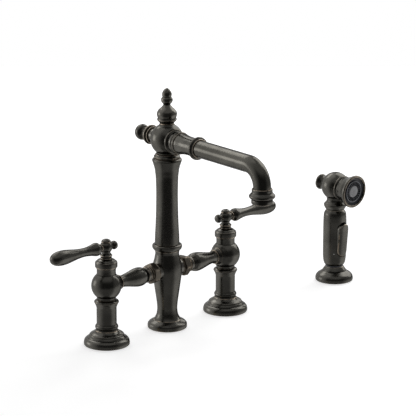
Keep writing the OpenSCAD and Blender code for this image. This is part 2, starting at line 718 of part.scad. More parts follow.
module spout_tube() {
  color(bronze) in_spout() {
    translate([0, -socket_t - 0.1, 0]) along_front()
      linear_extrude(spout_reach - bend_r - socket_t - 0.1) tube_section();
    translate([0, -spout_reach + bend_r, -bend_r]) rotate([0, 90, 0]) rotate([0, 0, -90])
      rotate_extrude(angle = -90, $fn = fine) translate([bend_r, 0]) tube_section();
    translate([0, -spout_reach, tube_end]) linear_extrude(outlet_top - tube_end) tube_section();
  }
}
module at_outlet() {
  in_spout() translate([0, -spout_reach, outlet_z]) children();
}
module outlet_shell() {
  color(bronze) at_outlet() difference() {
    turned(smooth([[outlet_r - 0.9, 0], [outlet_r, 0.6], [outlet_r + 0.4, 1.8], [outlet_r + 0.5, 4],
      [outlet_r + 0.2, 5.4], [outlet_r + 0.1, 6], [outlet_r + 1.4, 6.9], [outlet_r + 2.8, 8.1],
      [outlet_r + 3.2, 9.4], [outlet_r + 3.1, 10.6], [outlet_r + 1.9, 12.2],
      [outlet_r + 0.6, 13.5], [outlet_r, outlet_h - 4], [outlet_r, outlet_h - 1.5],
      [outlet_r - 0.2, outlet_h - 0.6], [outlet_r - 0.7, outlet_h]]));
    drill(9.8, -cut, 6.8);
    drill(9, 0, outlet_h);
    drill(spout_d / 2 + join_gap, outlet_h + tube_end - outlet_top - 0.1, outlet_h + cut);
  }
}
module aerator_insert() {
  color(plastic) at_outlet() difference() {
    turned([[9.5, 0.8], [9.7, 1], [9.7, 6.7]]);
    drill(8.4, 2.6, 6.7 + cut);
    for (r = [3, 6]) for (i = [0 : 2 * r - 1]) rotate([0, 0, i * 180 / r]) translate([r, 0, 0])
      cylinder(r = 0.9, h = 8, $fn = 24);
    cylinder(r = 0.9, h = 8, $fn = 24);
  }
}

// Side spray: the holder on the deck
liner_top = holder_h + 1.7;
liner_foot = 10;
liner_r = 9.2;
module at_spray(z = 0) {
  translate([spray_x, 0, z]) children();
}
module spray_holder() {
  color(bronze) at_spray() difference() {
    turned(concat(smooth([[holder_r - 1.6, 0], [holder_r - 0.4, 0.9], [holder_r, 2.6],
      [holder_r - 0.2, 5], [holder_r - 1, 7.2], [holder_r - 2.8, 9.4],
      [holder_r - 5.6, 11.2], [16.9, holder_h - 6.6]]),
      smooth([[15.7, holder_h - 6], [15.4, holder_h - 4.9], [14.4, holder_h - 3.3],
      [13.1, holder_h - 1.4], [12.1, holder_h]])));
    flange_recess(holder_h);
  }
}
module holder_shank() {
  color(brass) at_spray() ring(supply_r, 8.5, end_z, liner_foot);
}
module holder_liner() {
  color(plastic) at_spray() difference() {
    union() {
      drill(shank_hole_r - join_gap, liner_foot, holder_h + cut);
      drill(11.7, holder_h, liner_top);
    }
    drill(liner_r, liner_foot - cut, liner_top + cut);
  }
}

// Side spray: the handset, drawn from the bottom of the grip
grip_z = liner_top + near_gap;
plug_r = liner_r - near_gap;
plug_z = liner_foot + 1.5 - grip_z;
grip_way_r = 4.2;
head_spigot_r = 8.1;
head_spigot_l = 8.6;
pocket_y = 6.4;
paddle_z = 13.5;
pivot_y = 9.2;
pivot_z = paddle_z + 4;
paddle_gap = 0.4;
paddle_out = 1;
// How far the paddle's lower end sinks when it swings out, and the room over its upper end
paddle_drop = (grip_r + paddle_out - pivot_y) * sin(trigger_swing);
paddle_head = 1.6;
pin_r = 1.1;
lug_r = 2.3;
lug_x = 5;
plunger_r = 2.4;
plunger_z = pivot_z + 25;
module in_grip() {
  at_spray(grip_z) children();
}
// A flat bar with round ends, w wide, from z0 to z1, through the front of the grip
module front_bar(w, z0, z1, y0, y1) {
  along_front() translate([0, 0, y0]) linear_extrude(y1 - y0) {
    translate([0, z0 + w / 2]) circle(d = w, $fn = fine);
    translate([0, z1 - w / 2]) circle(d = w, $fn = fine);
    translate([-w / 2, z0 + w / 2]) square([w, z1 - z0 - w]);
  }
}
module spray_grip() {
  color(bronze) in_grip() difference() {
    union() {
      turned(smooth([[11.9, 0], [12.7, 0.8], [13.6, 2.2], [grip_r - 1, 4.8], [grip_r - 0.5, 7.8],
        [grip_r - 0.1, 12.5], [grip_r, 20], [grip_r, grip_h - 21], [grip_r - 0.2, grip_h - 12],
        [grip_r - 0.6, grip_h - 6], [grip_r - 1.2, grip_h - 3.6], [grip_r - 2.2, grip_h - 1.8],
        [12.3, grip_h - 0.5], [11.9, grip_h]]));
      drill(plug_r, plug_z, cut);
    }
    drill(grip_way_r, plug_z - cut, grip_h);
    drill(head_spigot_r + join_gap, grip_h - head_spigot_l, grip_h + cut);
    front_bar(trigger_w + 2 * paddle_gap, paddle_z - paddle_gap - paddle_drop,
      paddle_z + trigger_l + paddle_head, pocket_y, grip_r + cut);
    translate([0, -pivot_y, pivot_z]) along_x() drill(pin_r + run_gap, -grip_r, grip_r);
    translate([0, 0, plunger_z]) along_front() drill(plunger_r + run_gap, 0, pocket_y + cut);
  }
}
module about_pivot() {
  translate([0, -pivot_y, pivot_z]) rotate([trigger_swing, 0, 0])
    translate([0, pivot_y, -pivot_z]) children();
}
module trigger() {
  color(bronze) in_grip() about_pivot() difference() {
    union() {
      intersection() {
        front_bar(trigger_w, paddle_z, paddle_z + trigger_l, pivot_y + 0.4, grip_r + paddle_out + cut);
        drill(grip_r + paddle_out, 0, grip_h);
      }
      translate([0, -pivot_y, pivot_z]) along_x() drill(lug_r, -lug_x, lug_x);
    }
    translate([0, -pivot_y, pivot_z]) along_x() {
      drill(pin_r + run_gap, -trigger_w, trigger_w);
      drill(lug_r + near_gap, -lug_r, lug_r);
    }
  }
}
pin_l = 2 * sqrt(grip_r * grip_r - pivot_y * pivot_y) - 1;
module trigger_pin() {
  color("silver") in_grip() translate([0, -pivot_y, pivot_z]) along_x() drill(pin_r, -pin_l / 2, pin_l / 2);
}
module trigger_spring() {
  color("silver") in_grip() {
    translate([0, -pivot_y, pivot_z]) along_x()
      ring(lug_r - 0.2, pin_r + join_gap, -lug_r + near_gap, lug_r - near_gap);
    translate([-0.4, -pocket_y - 0.9, pivot_z]) cube([0.8, 0.8, 14]);
  }
}
module valve_plunger() {
  color(brass) in_grip() translate([0, 0, plunger_z]) along_front() {
    drill(plunger_r, 1, pivot_y + 2.2);
    drill(3.4, pivot_y + 0.8, pivot_y + 1.8);
  }
}
module hose_connector() {
  color(brass) in_grip() difference() {
    union() {
      drill(6.4, plug_z - 22, plug_z);
      drill(grip_way_r - join_gap, plug_z - cut, plug_z + 6);
    }
    drill(3, plug_z - 22 - cut, plug_z + 6 + cut);
  }
}

// Side spray: the head, drawn about its own centre, facing the sink
head_z = grip_h + head_rise;
bell_t = 11;
face_t = bell_l - 7;
face_r = bell_r - 2.6;
hub_face_r = 7.8;
rib_in_r = 9.4;
rib_out_r = 13.8;
head_knob_r = 6.7;
// Depth of the flat in the head that the knob sits on
head_knob_sink = 1.2;
module in_head() {
  in_grip() translate([0, 0, head_z]) children();
}
// What points forwards or backwards in the head is tilted about its centre
module tilted() {
  rotate([head_tilt, 0, 0]) children();
}
module spray_head() {
  color(bronze) in_head() difference() {
    union() {
      turned(concat(smooth([[11.9, -head_rise], [12.4, -head_rise + 1.2],
        [13.4, -head_rise + 2.7], [14.1, -head_rise + 4], [14.8, -head_rise + 5.4],
        [15.1, -head_rise + 6.8], [14.9, -head_rise + 8], [13.6, -head_rise + 9.6],
        [12.1, -head_rise + 11.3], [11.2, -head_rise + 13.4], [11.3, -head_rise + 15.2]]),
        ball_arc(head_r, 0, -51, 90, 20)));
      drill(head_spigot_r, -head_rise - head_spigot_l + 0.2, -head_rise + cut);
    }
    drill(grip_way_r, -head_rise - head_spigot_l, 0);
    tilted() {
      along_front() drill(head_r, bell_t, head_r + cut);
      along_front() drill(6, 0, head_r);
      along_back() drill(3.6, 13, head_r + cut);
      along_back() drill(head_knob_r + join_gap, head_r - head_knob_sink, head_r + cut);
    }
  }
}
module head_knob() {
  color(bronze) in_head() tilted() along_back() {
    turned(lifted(smooth([[head_knob_r, 0], [6.3, 1.6], [6.5, 3], [7.6, 4.8], [9.4, 6.4],
      [10.2, 7.5], [10.2, 8.6], [9.5, 9.9], [6.7, 10.9], [0, 11.4]]), head_r - head_knob_sink));
    drill(3.5, 13.4, head_r);
  }
}
module spray_bell() {
  color(bronze) in_head() tilted() along_front() difference() {
    turned(concat(smooth([[15.5, bell_t], [16.4, bell_t + 0.7], [16.6, bell_t + 1.8],
      [16.3, bell_t + 2.8], [15.6, bell_t + 3.5]]), smooth([[15.1, bell_t + 4], [15.1, bell_t + 5],
      [15.5, bell_t + 6.6], [16.4, bell_t + 9.4], [bell_r - 3.8, bell_l - 11],
      [bell_r - 2.5, bell_l - 8], [bell_r - 1.3, bell_l - 5.6], [bell_r - 0.3, bell_l - 3.6],
      [bell_r, bell_l - 2.6], [bell_r, bell_l - 1.2], [bell_r - 0.6, bell_l - 0.3],
      [bell_r - 1.6, bell_l]])));
    drill(6, bell_t - cut, bell_l);
    turned([[6, bell_l - 13], [bell_r - 6, bell_l - 9.4], [bell_r - 5, bell_l]]);
    drill(face_r + join_gap, face_t, bell_l + cut);
    translate([0, 0, bell_t + 9.6]) mirror([1, 0, 0]) along_x() drill(1.2, 13.6, bell_r);
  }
}
module nozzle_ring() {
  color(plastic) in_head() tilted() along_front() difference() {
    union() {
      drill(face_r, face_t, face_t + 3.4);
      ring(face_r, face_r - 1.2, face_t + 3, bell_l - 1);
      ring(rib_out_r + 0.9, rib_out_r, face_t + 3, bell_l - 1.2);
      for (i = [1 : face_ribs]) rotate([0, 0, i * 360 / face_ribs])
        translate([rib_in_r, -0.35, face_t + 3])
          cube([rib_out_r + 0.2 - rib_in_r, 0.7, bell_l - face_t - 4.6]);
    }
    drill(hub_face_r, face_t - cut, bell_l);
  }
}
module nozzle_plate() {
  color("#8b8d8f") in_head() tilted() along_front() difference() {
    turned([[hub_face_r - join_gap, face_t], [hub_face_r - join_gap, bell_l - 2.4],
      [hub_face_r - 0.7, bell_l - 1.8]]);
    drill(hub_face_r - 1.4, face_t - cut, bell_l - 4.4);
    for (r = [2.6, 5.2]) for (i = [0 : 6 * r / 2.6 - 1]) rotate([0, 0, i * 156 / r])
      translate([r, 0, 0]) cylinder(r = 0.5, h = bell_l, $fn = 24);
    cylinder(r = 0.5, h = bell_l, $fn = 24);
  }
}

centre_foot();
centre_body();
ring_nut();
column_tube();
swivel_collar();
swivel_post();
swivel_o_rings();
swivel_retainer();
diverter_body();
diverter_piston();
diverter_spring();
base_gaskets();
centre_shank();
mounting_nuts();
mounting_washers();
bridge_arm_left();
bridge_arm_right();
union_nuts();
union_nipples();
union_gaskets();
valve_body_left();
valve_body_right();
riser_sleeves();
flanges();
supply_shanks();
cartridges();
fixed_discs();
bonnets();
spout_ball();
finial();
rear_knob();
spout_nut();
spout_adapter();
spout_tube();
outlet_shell();
aerator_insert();
stem_left();
hub_left();
hub_cap_left();
lever_left();
hub_knob_left();
stem_right();
hub_right();
hub_cap_right();
lever_right();
hub_knob_right();
spray_holder();
holder_liner();
holder_shank();
spray_grip();
spray_head();
head_knob();
spray_bell();
nozzle_ring();
nozzle_plate();
hose_connector();
trigger();
trigger_pin();
trigger_spring();
valve_plunger();
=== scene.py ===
import json
import math

import bpy
import numpy as np
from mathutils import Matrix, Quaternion, Vector


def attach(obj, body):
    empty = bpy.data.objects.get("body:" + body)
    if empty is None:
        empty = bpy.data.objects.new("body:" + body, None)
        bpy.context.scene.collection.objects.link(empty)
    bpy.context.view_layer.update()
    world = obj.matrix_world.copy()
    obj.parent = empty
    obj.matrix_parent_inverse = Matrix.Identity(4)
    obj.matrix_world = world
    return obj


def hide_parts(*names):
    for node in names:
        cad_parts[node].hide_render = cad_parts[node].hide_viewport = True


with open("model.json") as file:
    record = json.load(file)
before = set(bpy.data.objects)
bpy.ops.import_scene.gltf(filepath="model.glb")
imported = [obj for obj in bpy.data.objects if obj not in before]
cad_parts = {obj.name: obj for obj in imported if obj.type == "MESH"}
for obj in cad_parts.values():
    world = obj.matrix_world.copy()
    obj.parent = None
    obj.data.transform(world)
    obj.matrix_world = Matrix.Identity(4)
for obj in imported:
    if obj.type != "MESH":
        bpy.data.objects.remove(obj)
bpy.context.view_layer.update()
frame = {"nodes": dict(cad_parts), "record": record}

# Lengths are written in millimetres and made metres when a mesh is built.
VALVE_X = 101.6
SPRAY_X = 304.8
BRIDGE_Z = 75.1
VASE_TOP = 100.6
COLUMN_FOOT = 108.4
COLUMN_TOP = 217.5
SPOUT_Z = 241.085
SPOUT_TURN = math.radians(-6)
TUBE_R = 10.7
SLEEVE_TOP = 57.3
BOSS_L = 21.2
BONNET_Z = 98.3
BONNET_TOP = 108.8
LEVER_Z = 123.6
GRIP_Z = 21.5
HEAD_Z = 128.3
TRIGGER_SWING = math.radians(5)
TRIGGER_PIVOT = np.array((0, -9.2, 17.5))
SMOOTH_ANGLE = math.radians(38)

UP = np.array((0.0, 0.0, 1.0))
LEFT = np.array((-1.0, 0.0, 0.0))
RIGHT = np.array((1.0, 0.0, 0.0))
BACK = np.array((0.0, 1.0, 0.0))
SPOUT_FRONT = np.array((math.sin(SPOUT_TURN), -math.cos(SPOUT_TURN), 0.0))
HEAD_FRONT = np.array((0.0, -math.cos(math.radians(3)), -math.sin(math.radians(3))))

# Level directions from the object to the camera, and to the right of the picture
TOWARD = np.array((-0.6884, -0.7254, 0))
ASIDE = np.array((0.7254, -0.6884, 0))


# Outlines are rows of (radius, height)

def curve(knots, steps=8):
    """A smooth outline through the knots: between two of them each coordinate is the cubic that
    has half the chord of its neighbours as its slope at either end."""
    p = np.array(knots, float)
    ext = np.vstack([p[:1], p, p[-1:]])[:, None, :]
    a, b, c, d = ext[:-3], ext[1:-2], ext[2:-1], ext[3:]
    t = (np.arange(steps) / steps)[None, :, None]
    s = 0.5 * (2 * b + (c - a) * t + (2 * a - 5 * b + 4 * c - d) * t ** 2
               + (3 * b - a - 3 * c + d) * t ** 3)
    return np.vstack([s.reshape(-1, 2), p[-1:]])


def arc(r, z, start, end, steps=40):
    """Part of a ball's outline: (r cos t, z + r sin t) from one angle to the other, in degrees."""
    t = np.radians(np.linspace(start, end, steps))
    return np.stack([r * np.cos(t), z + r * np.sin(t)], 1)


def chain(*parts):
    """The parts one after another, without points that lie on each other."""
    p = np.vstack([np.array(q, float).reshape(-1, 2) for q in parts])
    keep = np.ones(len(p), bool)
    keep[1:] = np.hypot(*(p[1:] - p[:-1]).T) > 0.02
    return p[keep]


def eased(p, r=0.3, closed=False):
    """Each corner of more than 20 degrees becomes a short curve: four points of the parabola
    between the points r before and after it."""
    out = []
    n = len(p)
    for i in range(n):
        if not closed and i in (0, n - 1):
            out.append(p[i])
            continue
        a, b, c = p[i - 1], p[i], p[(i + 1) % n]
        u, v = b - a, c - b
        lu, lv = np.hypot(*u), np.hypot(*v)
        turn = abs(math.degrees(math.atan2(u[0] * v[1] - u[1] * v[0], u @ v)))
        if turn < 20 or min(lu, lv) < 0.05:
            out.append(b)
            continue
        q = min(r, lu * 0.45, lv * 0.45)
        s, e = b - u / lu * q, b + v / lv * q
        out += [(1 - t) ** 2 * s + 2 * t * (1 - t) * b + t * t * e for t in (0, 0.33, 0.67, 1)]
    return np.array(out)


def fine(p, step=1.1, closed=False):
    """The outline with points added wherever two lie further apart than a step."""
    q = np.vstack([p, p[:1]]) if closed else p
    out = [q[:1]]
    for a, b in zip(q[:-1], q[1:]):
        n = max(1, math.ceil(np.hypot(*(b - a)) / step))
        out.append(a + (b - a) * (np.arange(1, n + 1) / n)[:, None])
    r = np.vstack(out)
    return r[:-1] if closed else r


def bend_of(p, closed=False, reach=0.55):
    """How sharply the outline turns, per millimetre, over a reach either side of each point:
    above 0 where it stands out, below 0 where it is a groove."""
    q = np.vstack([p[-12:], p, p[:12]]) if closed else p
    d = np.diff(q, axis=0)
    length = np.hypot(*d.T)
    s = np.concatenate([[0], np.cumsum(length)])
    angle = np.unwrap(np.arctan2(d[:, 1], d[:, 0]))
    mid = (s[1:] + s[:-1]) / 2
    turn = (np.interp(s + reach, mid, angle) - np.interp(s - reach, mid, angle)) / (2 * reach)
    return turn[12:-12] if closed else turn


# Surfaces

def facing(direction):
    """A right-handed frame whose third axis is the direction."""
    w = direction / np.linalg.norm(direction)
    u = np.cross(BACK if abs(w[1]) < 0.9 else UP, w)
    u /= np.linalg.norm(u)
    return np.stack([u, np.cross(w, u), w], 1)


def wall(n, around, closed=False):
    """The faces between n rings of points, and from the last ring to the first if it is closed."""
    i, j = np.meshgrid(np.arange(n if closed else n - 1), np.arange(around), indexing="ij")
    i1, j1 = (i + 1) % n, (j + 1) % around
    quads = np.stack([i * around + j, i * around + j1, i1 * around + j1, i1 * around + j], 2)
    return quads.reshape(-1, 4)


def end_fans(n, around):
    """The triangles that close n rings at both ends, to the two points that follow the rings."""
    k = np.arange(around)
    k1 = (k + 1) % around
    last = (n - 1) * around
    return np.vstack([np.stack([np.full(around, n * around), k1, k], 1),
                      np.stack([np.full(around, n * around + 1), last + k, last + k1], 1)])


def lathe(outline, at=(0, 0, 0), direction=UP, closed=False, around=144, ease=0.3):
    """A turned form: the outline's point (r, z) at angle u lies at (r cos u, r sin u, z) in a frame
    along the direction. An open outline ends on the axis, and a closed one is a ring's section."""
    p = fine(eased(np.array(outline, float), ease, closed), closed=closed)
    turn = bend_of(p, closed)
    s = np.concatenate([[0], np.cumsum(np.hypot(*np.diff(p, axis=0).T))])
    u = np.arange(around) * 2 * math.pi / around
    c, d = np.cos(u), np.sin(u)
    pole_a, pole_b = (not closed and p[0, 0] < 1e-6), (not closed and p[-1, 0] < 1e-6)
    body = p[int(pole_a):len(p) - int(pole_b)]
    k = slice(int(pole_a), len(p) - int(pole_b))
    xyz = np.stack([body[:, :1] * c, body[:, :1] * d, np.repeat(body[:, 1:], around, 1)], 2)
    grain = np.stack(np.broadcast_arrays(c[None, :], d[None, :], s[k][:, None]), 2)
    bend = np.repeat(turn[k][:, None], around, 1)
    n = len(body)
    verts, grains, bends = [xyz.reshape(-1, 3)], [grain.reshape(-1, 3)], [bend.ravel()]
    tris, ring = [], np.arange(around)
    count = n * around
    for pole, row, point, flip in ((pole_a, 0, p[0], True), (pole_b, n - 1, p[-1], False)):
        if pole:
            verts.append(np.array([[0, 0, point[1]]]))
            grains.append(np.array([[0, 0, s[0] if flip else s[-1]]]))
            bends.append(np.array([0.0]))
            a, b = row * around + ring, row * around + (ring + 1) % around
            tip = np.full(around, count)
            tris.append(np.stack([tip, b, a] if flip else [tip, a, b], 1))
            count += 1
    v = np.vstack(verts) @ facing(direction).T + np.array(at, float)
    return {"v": v, "quads": wall(n, around, closed),
            "tris": np.vstack(tris) if tris else np.zeros((0, 3), int),
            "grain": np.vstack(grains), "bend": np.concatenate(bends)}


def sweep(path, radius, around=96):
    """A round bar: at each point of the path stands a circle across it, and both ends are closed.
    The path stays in one upright plane, so the circles' frames turn about that plane's normal."""
    tangent = np.gradient(path, axis=0)
    tangent /= np.linalg.norm(tangent, axis=1)[:, None]
    side = np.cross(path[-1] - path[0], UP)
    side /= np.linalg.norm(side)
    up = np.cross(side[None, :], tangent)
    u = np.arange(around) * 2 * math.pi / around
    ring = np.cos(u)[None, :, None] * side + np.sin(u)[None, :, None] * up[:, None, :]
    xyz = path[:, None, :] + radius * ring
    s = np.concatenate([[0], np.cumsum(np.linalg.norm(np.diff(path, axis=0), axis=1))])
    grain = np.stack(np.broadcast_arrays(np.cos(u)[None, :], np.sin(u)[None, :], s[:, None]), 2)
    n = len(path)
    return {"v": np.vstack([xyz.reshape(-1, 3), path[0], path[-1]]),
            "quads": wall(n, around), "tris": end_fans(n, around),
            "grain": np.vstack([grain.reshape(-1, 3), np.zeros((2, 3))]),
            "bend": np.zeros(n * around + 2)}


def hex_ring(flats, bore, z0, z1, at, direction, turn=0.0, ease=0.35):
    """A six-sided nut: at angle u and height z its radius is the smaller, smoothly blended, of the
    hexagon's flat, flats / 2 / cos(u'), and a cone that cuts its corners at both ends. At no turn
    a corner points up."""
    around, half = 288, flats / 2
    u = np.arange(around) * 2 * math.pi / around
    corner = half / math.cos(math.pi / 6)
    flat = half / np.cos((u - turn) % (math.pi / 3) - math.pi / 6)
    flat = corner - ease * np.log1p(np.exp((corner - flat) / ease)) + ease * math.log(2) - 0.1
    share = 0.5 - 0.5 * np.cos(np.linspace(0.12, 3.02, 40))
    z = np.concatenate([[z0], z0 + (z1 - z0) * share, [z1]])
    cone = corner + 0.35 - 2.0 * np.clip(1 - np.minimum(z - z0, z1 - z) / 1.4, 0, 1) ** 1.5
    sharp = 5.0
    sides = np.exp(-sharp * (flat[None, :] - half)) + np.exp(-sharp * (cone[:, None] - half))
    r = -np.log(sides) / sharp + half
    c, d = np.cos(u), np.sin(u)
    outer = np.stack([r * c, r * d, np.repeat(z[:, None], around, 1)], 2)
    inner = np.stack([np.stack([bore * c, bore * d, np.full(around, h)], 1) for h in (z1, z0)])
    xyz = np.concatenate([outer, inner])
    n = len(xyz)
    # the nut's bend for the rubbed-edge mask: a little tan from wear all over, and a painted highlight on
    # the corners and cut edges
    rim = np.maximum(np.clip((r - (cone[:, None] - 0.45)) / 0.5, 0, 1),
                     np.clip((r - corner + 0.9) / 0.6, 0, 1))
    rim = np.concatenate([0.45 + rim * 0.25, np.zeros((2, around))])
    grain = np.stack(np.broadcast_arrays(c[None, :], d[None, :], np.arange(n)[:, None] * 0.3), 2)
    return {"v": xyz.reshape(-1, 3) @ facing(direction).T + np.array(at, float),
            "quads": wall(n, around, closed=True), "tris": np.zeros((0, 3), int),
            "grain": grain.reshape(-1, 3), "bend": rim.ravel()}


def stadium(w, low, high, inset, count=112):
    """A flat bar's outline with round ends, at a distance inside its edge."""
    r = w / 2 - inset
    t = np.linspace(0, math.pi, count // 2)
    top = np.stack([r * np.cos(t), high - w / 2 + r * np.sin(t)], 1)
    return np.vstack([top, np.stack([-r * np.cos(t), low + w / 2 - r * np.sin(t)], 1)])


def piece(name, surfaces, body, material, *nodes, slot="bronze"):
    """One mesh from one or more surfaces, which rides on a body and stands for the nodes."""
    mesh = bpy.data.meshes.new(name)
    start, verts, faces = 0, [], []
    for s in surfaces:
        verts.append(s["v"])
        faces += (s["quads"] + start).tolist() + (s["tris"] + start).tolist()
        start += len(s["v"])
    mesh.from_pydata((np.vstack(verts) * 0.001).tolist(), [], faces)
    mesh.attributes.new("grain", "FLOAT_VECTOR", "POINT").data.foreach_set(
        "vector", np.vstack([s["grain"] for s in surfaces]).astype(np.float32).ravel())
    mesh.attributes.new("bend", "FLOAT", "POINT").data.foreach_set(
        "value", np.concatenate([s["bend"] for s in surfaces]).astype(np.float32))
    mesh.polygons.foreach_set("use_smooth", np.ones(len(mesh.polygons), bool))
    mesh.set_sharp_from_angle(angle=SMOOTH_ANGLE)
    mesh.materials.append(material)
    mesh.update()
    obj = bpy.data.objects.new(name, mesh)
    bpy.context.scene.collection.objects.link(obj)
    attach(obj, body)
    if nodes:
        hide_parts(*nodes)
    return obj


# Materials

def group(name, inputs, outputs):
    """An empty node group with float, colour or vector sockets."""
    g = bpy.data.node_groups.new(name, "ShaderNodeTree")
    kinds = {"f": "NodeSocketFloat", "c": "NodeSocketColor", "v": "NodeSocketVector"}
    for label, kind in inputs:
        g.interface.new_socket(label, in_out="INPUT", socket_type=kinds[kind])
    for label, kind in outputs:
        g.interface.new_socket(label, in_out="OUTPUT", socket_type=kinds[kind])
    return g, g.nodes.new("NodeGroupInput"), g.nodes.new("NodeGroupOutput")


def node(tree, kind, **settings):
    n = tree.nodes.new(kind)
    for key, value in settings.items():
        if key in n.bl_rna.properties:
            setattr(n, key, value)
        else:
            n.inputs[key.replace("_", " ")].default_value = value
    return n


def maths(tree, operation, a, b=None, clamp=False):
    n = tree.nodes.new("ShaderNodeMath")
    n.operation, n.use_clamp = operation, clamp
    for socket, value in zip(n.inputs, (a, b)):
        if value is None:
            continue
        if isinstance(value, (int, float)):
            socket.default_value = value
        else:
            tree.links.new(value, socket)
    return n.outputs[0]


def mixed(tree, share, a, b):
    """A colour mix of a and b; each is a socket or a colour."""
    n = tree.nodes.new("ShaderNodeMix")
    n.data_type = "RGBA"
    tree.links.new(share, n.inputs["Factor"])
    for socket, value in ((n.inputs[6], a), (n.inputs[7], b)):
        if isinstance(value, tuple):
            socket.default_value = (*value, 1)
        else:
            tree.links.new(value, socket)
    return n.outputs[2]


def stepped(tree, value, low, high):
    n = tree.nodes.new("ShaderNodeMapRange")
    n.interpolation_type = "SMOOTHSTEP"
    tree.links.new(value, n.inputs["Value"])
    n.inputs["From Min"].default_value, n.inputs["From Max"].default_value = low, high
    return n.outputs["Result"]


def patina_group():
    """Cloudy and speckled tone of a chemically darkened surface: a coarse noise and a fine one."""
    g, gi, go = group("patina", [("Cloud", "f"), ("Speckle", "f")], [("Tone", "f"), ("Fleck", "f")])
    coord = g.nodes.new("ShaderNodeTexCoord")
    tones = []
    for label in ("Cloud", "Speckle"):
        n = node(g, "ShaderNodeTexNoise", Detail=4.0, Roughness=0.62)
        g.links.new(coord.outputs["Object"], n.inputs["Vector"])
        g.links.new(gi.outputs[label], n.inputs["Scale"])
        tones.append(n.outputs["Fac"])
    g.links.new(stepped(g, tones[0], 0.32, 0.7), go.inputs["Tone"])
    g.links.new(stepped(g, tones[1], 0.42, 0.66), go.inputs["Fleck"])
    return g


def rub_and_highlight_group():
    """Where hands and cloths rub the finish through, which also paints highlights on the same edges: the
    outline's outward bends, broken by noise; and the grooves, where the colour is made darker."""
    g, gi, go = group("rubbed and highlighted edges", [("From", "f"), ("To", "f")], [("RubAndHighlight", "f"), ("Groove", "f")])
    bend = node(g, "ShaderNodeAttribute", attribute_name="bend")
    coord = g.nodes.new("ShaderNodeTexCoord")
    n = node(g, "ShaderNodeTexNoise", Scale=170.0, Detail=3.0, Roughness=0.6)
    g.links.new(coord.outputs["Object"], n.inputs["Vector"])
    ramp = g.nodes.new("ShaderNodeMapRange")
    ramp.interpolation_type = "SMOOTHSTEP"
    g.links.new(bend.outputs["Fac"], ramp.inputs["Value"])
    g.links.new(gi.outputs["From"], ramp.inputs["From Min"])
    g.links.new(gi.outputs["To"], ramp.inputs["From Max"])
    broken = stepped(g, n.outputs["Fac"], 0.3, 0.6)
    g.links.new(maths(g, "MULTIPLY", ramp.outputs["Result"], broken, True), go.inputs["RubAndHighlight"])
    inward = maths(g, "MULTIPLY", bend.outputs["Fac"], -1.0)
    g.links.new(stepped(g, inward, 0.15, 0.9), go.inputs["Groove"])
    return g


def turning_group():
    """Fine lines left by polishing on a lathe: noise on the piece's own (cos u, sin u, length)
    coordinates, drawn out along the ring."""
    g, gi, go = group("turning lines", [("Lines", "f")], [("Height", "f")])
    grain = node(g, "ShaderNodeAttribute", attribute_name="grain")
    scale = node(g, "ShaderNodeVectorMath", operation="MULTIPLY")
    g.links.new(grain.outputs["Vector"], scale.inputs[0])
    join = g.nodes.new("ShaderNodeCombineXYZ")
    join.inputs[0].default_value = join.inputs[1].default_value = 1.6
    g.links.new(gi.outputs["Lines"], join.inputs[2])
    g.links.new(join.outputs[0], scale.inputs[1])
    n = node(g, "ShaderNodeTexNoise", Scale=1.0, Detail=3.0, Roughness=0.7)
    g.links.new(scale.outputs[0], n.inputs["Vector"])
    g.links.new(n.outputs["Fac"], go.inputs["Height"])
    return g


GROUPS = {}


def placed(tree, name, **values):
    """One of the shared groups in a material, with its own values."""
    n = tree.nodes.new("ShaderNodeGroup")
    n.node_tree = GROUPS[name]
    for key, value in values.items():
        n.inputs[key].default_value = value
    return n


def new_material(name):
    m = bpy.data.materials.new(name)
    m.use_nodes = True
    return m, m.node_tree, m.node_tree.nodes["Principled BSDF"]


def bumped(tree, shader, height, strength, distance):
    bump = node(tree, "ShaderNodeBump", Strength=strength, Distance=distance)
    tree.links.new(height, bump.inputs["Height"])
    tree.links.new(bump.outputs["Normal"], shader.inputs["Normal"])


def bronze(name, dark=(0.077, 0.074, 0.066), light=(0.15, 0.144, 0.128), lines=3.0, dull=0.2):
    """Oil-rubbed bronze: a cloudy near-black brown with a grey bloom, copper where it is rubbed and as a
    painted highlight on the edges, near black in the grooves.
    """
    m, tree, shader = new_material(name)
    tone = placed(tree, "patina", Cloud=38.0, Speckle=760.0)
    # rubbed edges: copper from wear, and a painted highlight along the outline's outward bends
    edge = placed(tree, "rubbed and highlighted edges", From=0.4, To=0.95)
    line = placed(tree, "turning lines", Lines=lines)
    share = maths(tree, "ADD", maths(tree, "MULTIPLY", tone.outputs["Tone"], 0.5),
                  maths(tree, "MULTIPLY", tone.outputs["Fleck"], 0.22), True)
    colour = mixed(tree, share, dark, light)
    # the colour turns near black in the grooves, the outline's inward bends
    darker_in_grooves = maths(tree, "MULTIPLY", edge.outputs["Groove"], 0.85)
    colour = mixed(tree, darker_in_grooves, colour, (0.008, 0.0075, 0.0065))
    # the pale copper-tan of the rubbed edges, which also serves as the painted highlight
    worn_and_highlight = mixed(tree, tone.outputs["Tone"], (0.5, 0.4, 0.3), (0.54, 0.47, 0.38))
    colour = mixed(tree, maths(tree, "MULTIPLY", edge.outputs["RubAndHighlight"], 0.8), colour, worn_and_highlight)
    tree.links.new(colour, shader.inputs["Base Color"])
    rough = maths(tree, "ADD", maths(tree, "MULTIPLY", tone.outputs["Fleck"], 0.1), dull)
    rough = maths(tree, "ADD", rough, maths(tree, "MULTIPLY", edge.outputs["RubAndHighlight"], 0.14))
    tree.links.new(rough, shader.inputs["Roughness"])
    shader.inputs["Metallic"].default_value = 1.0
    shader.inputs["Specular Tint"].default_value = (0.6, 0.6, 0.6, 1)
    height = maths(tree, "ADD", maths(tree, "MULTIPLY", line.outputs["Height"], 0.7),
                   maths(tree, "MULTIPLY", tone.outputs["Fleck"], 0.5))
    bumped(tree, shader, height, 0.1, 0.0003)
    return m


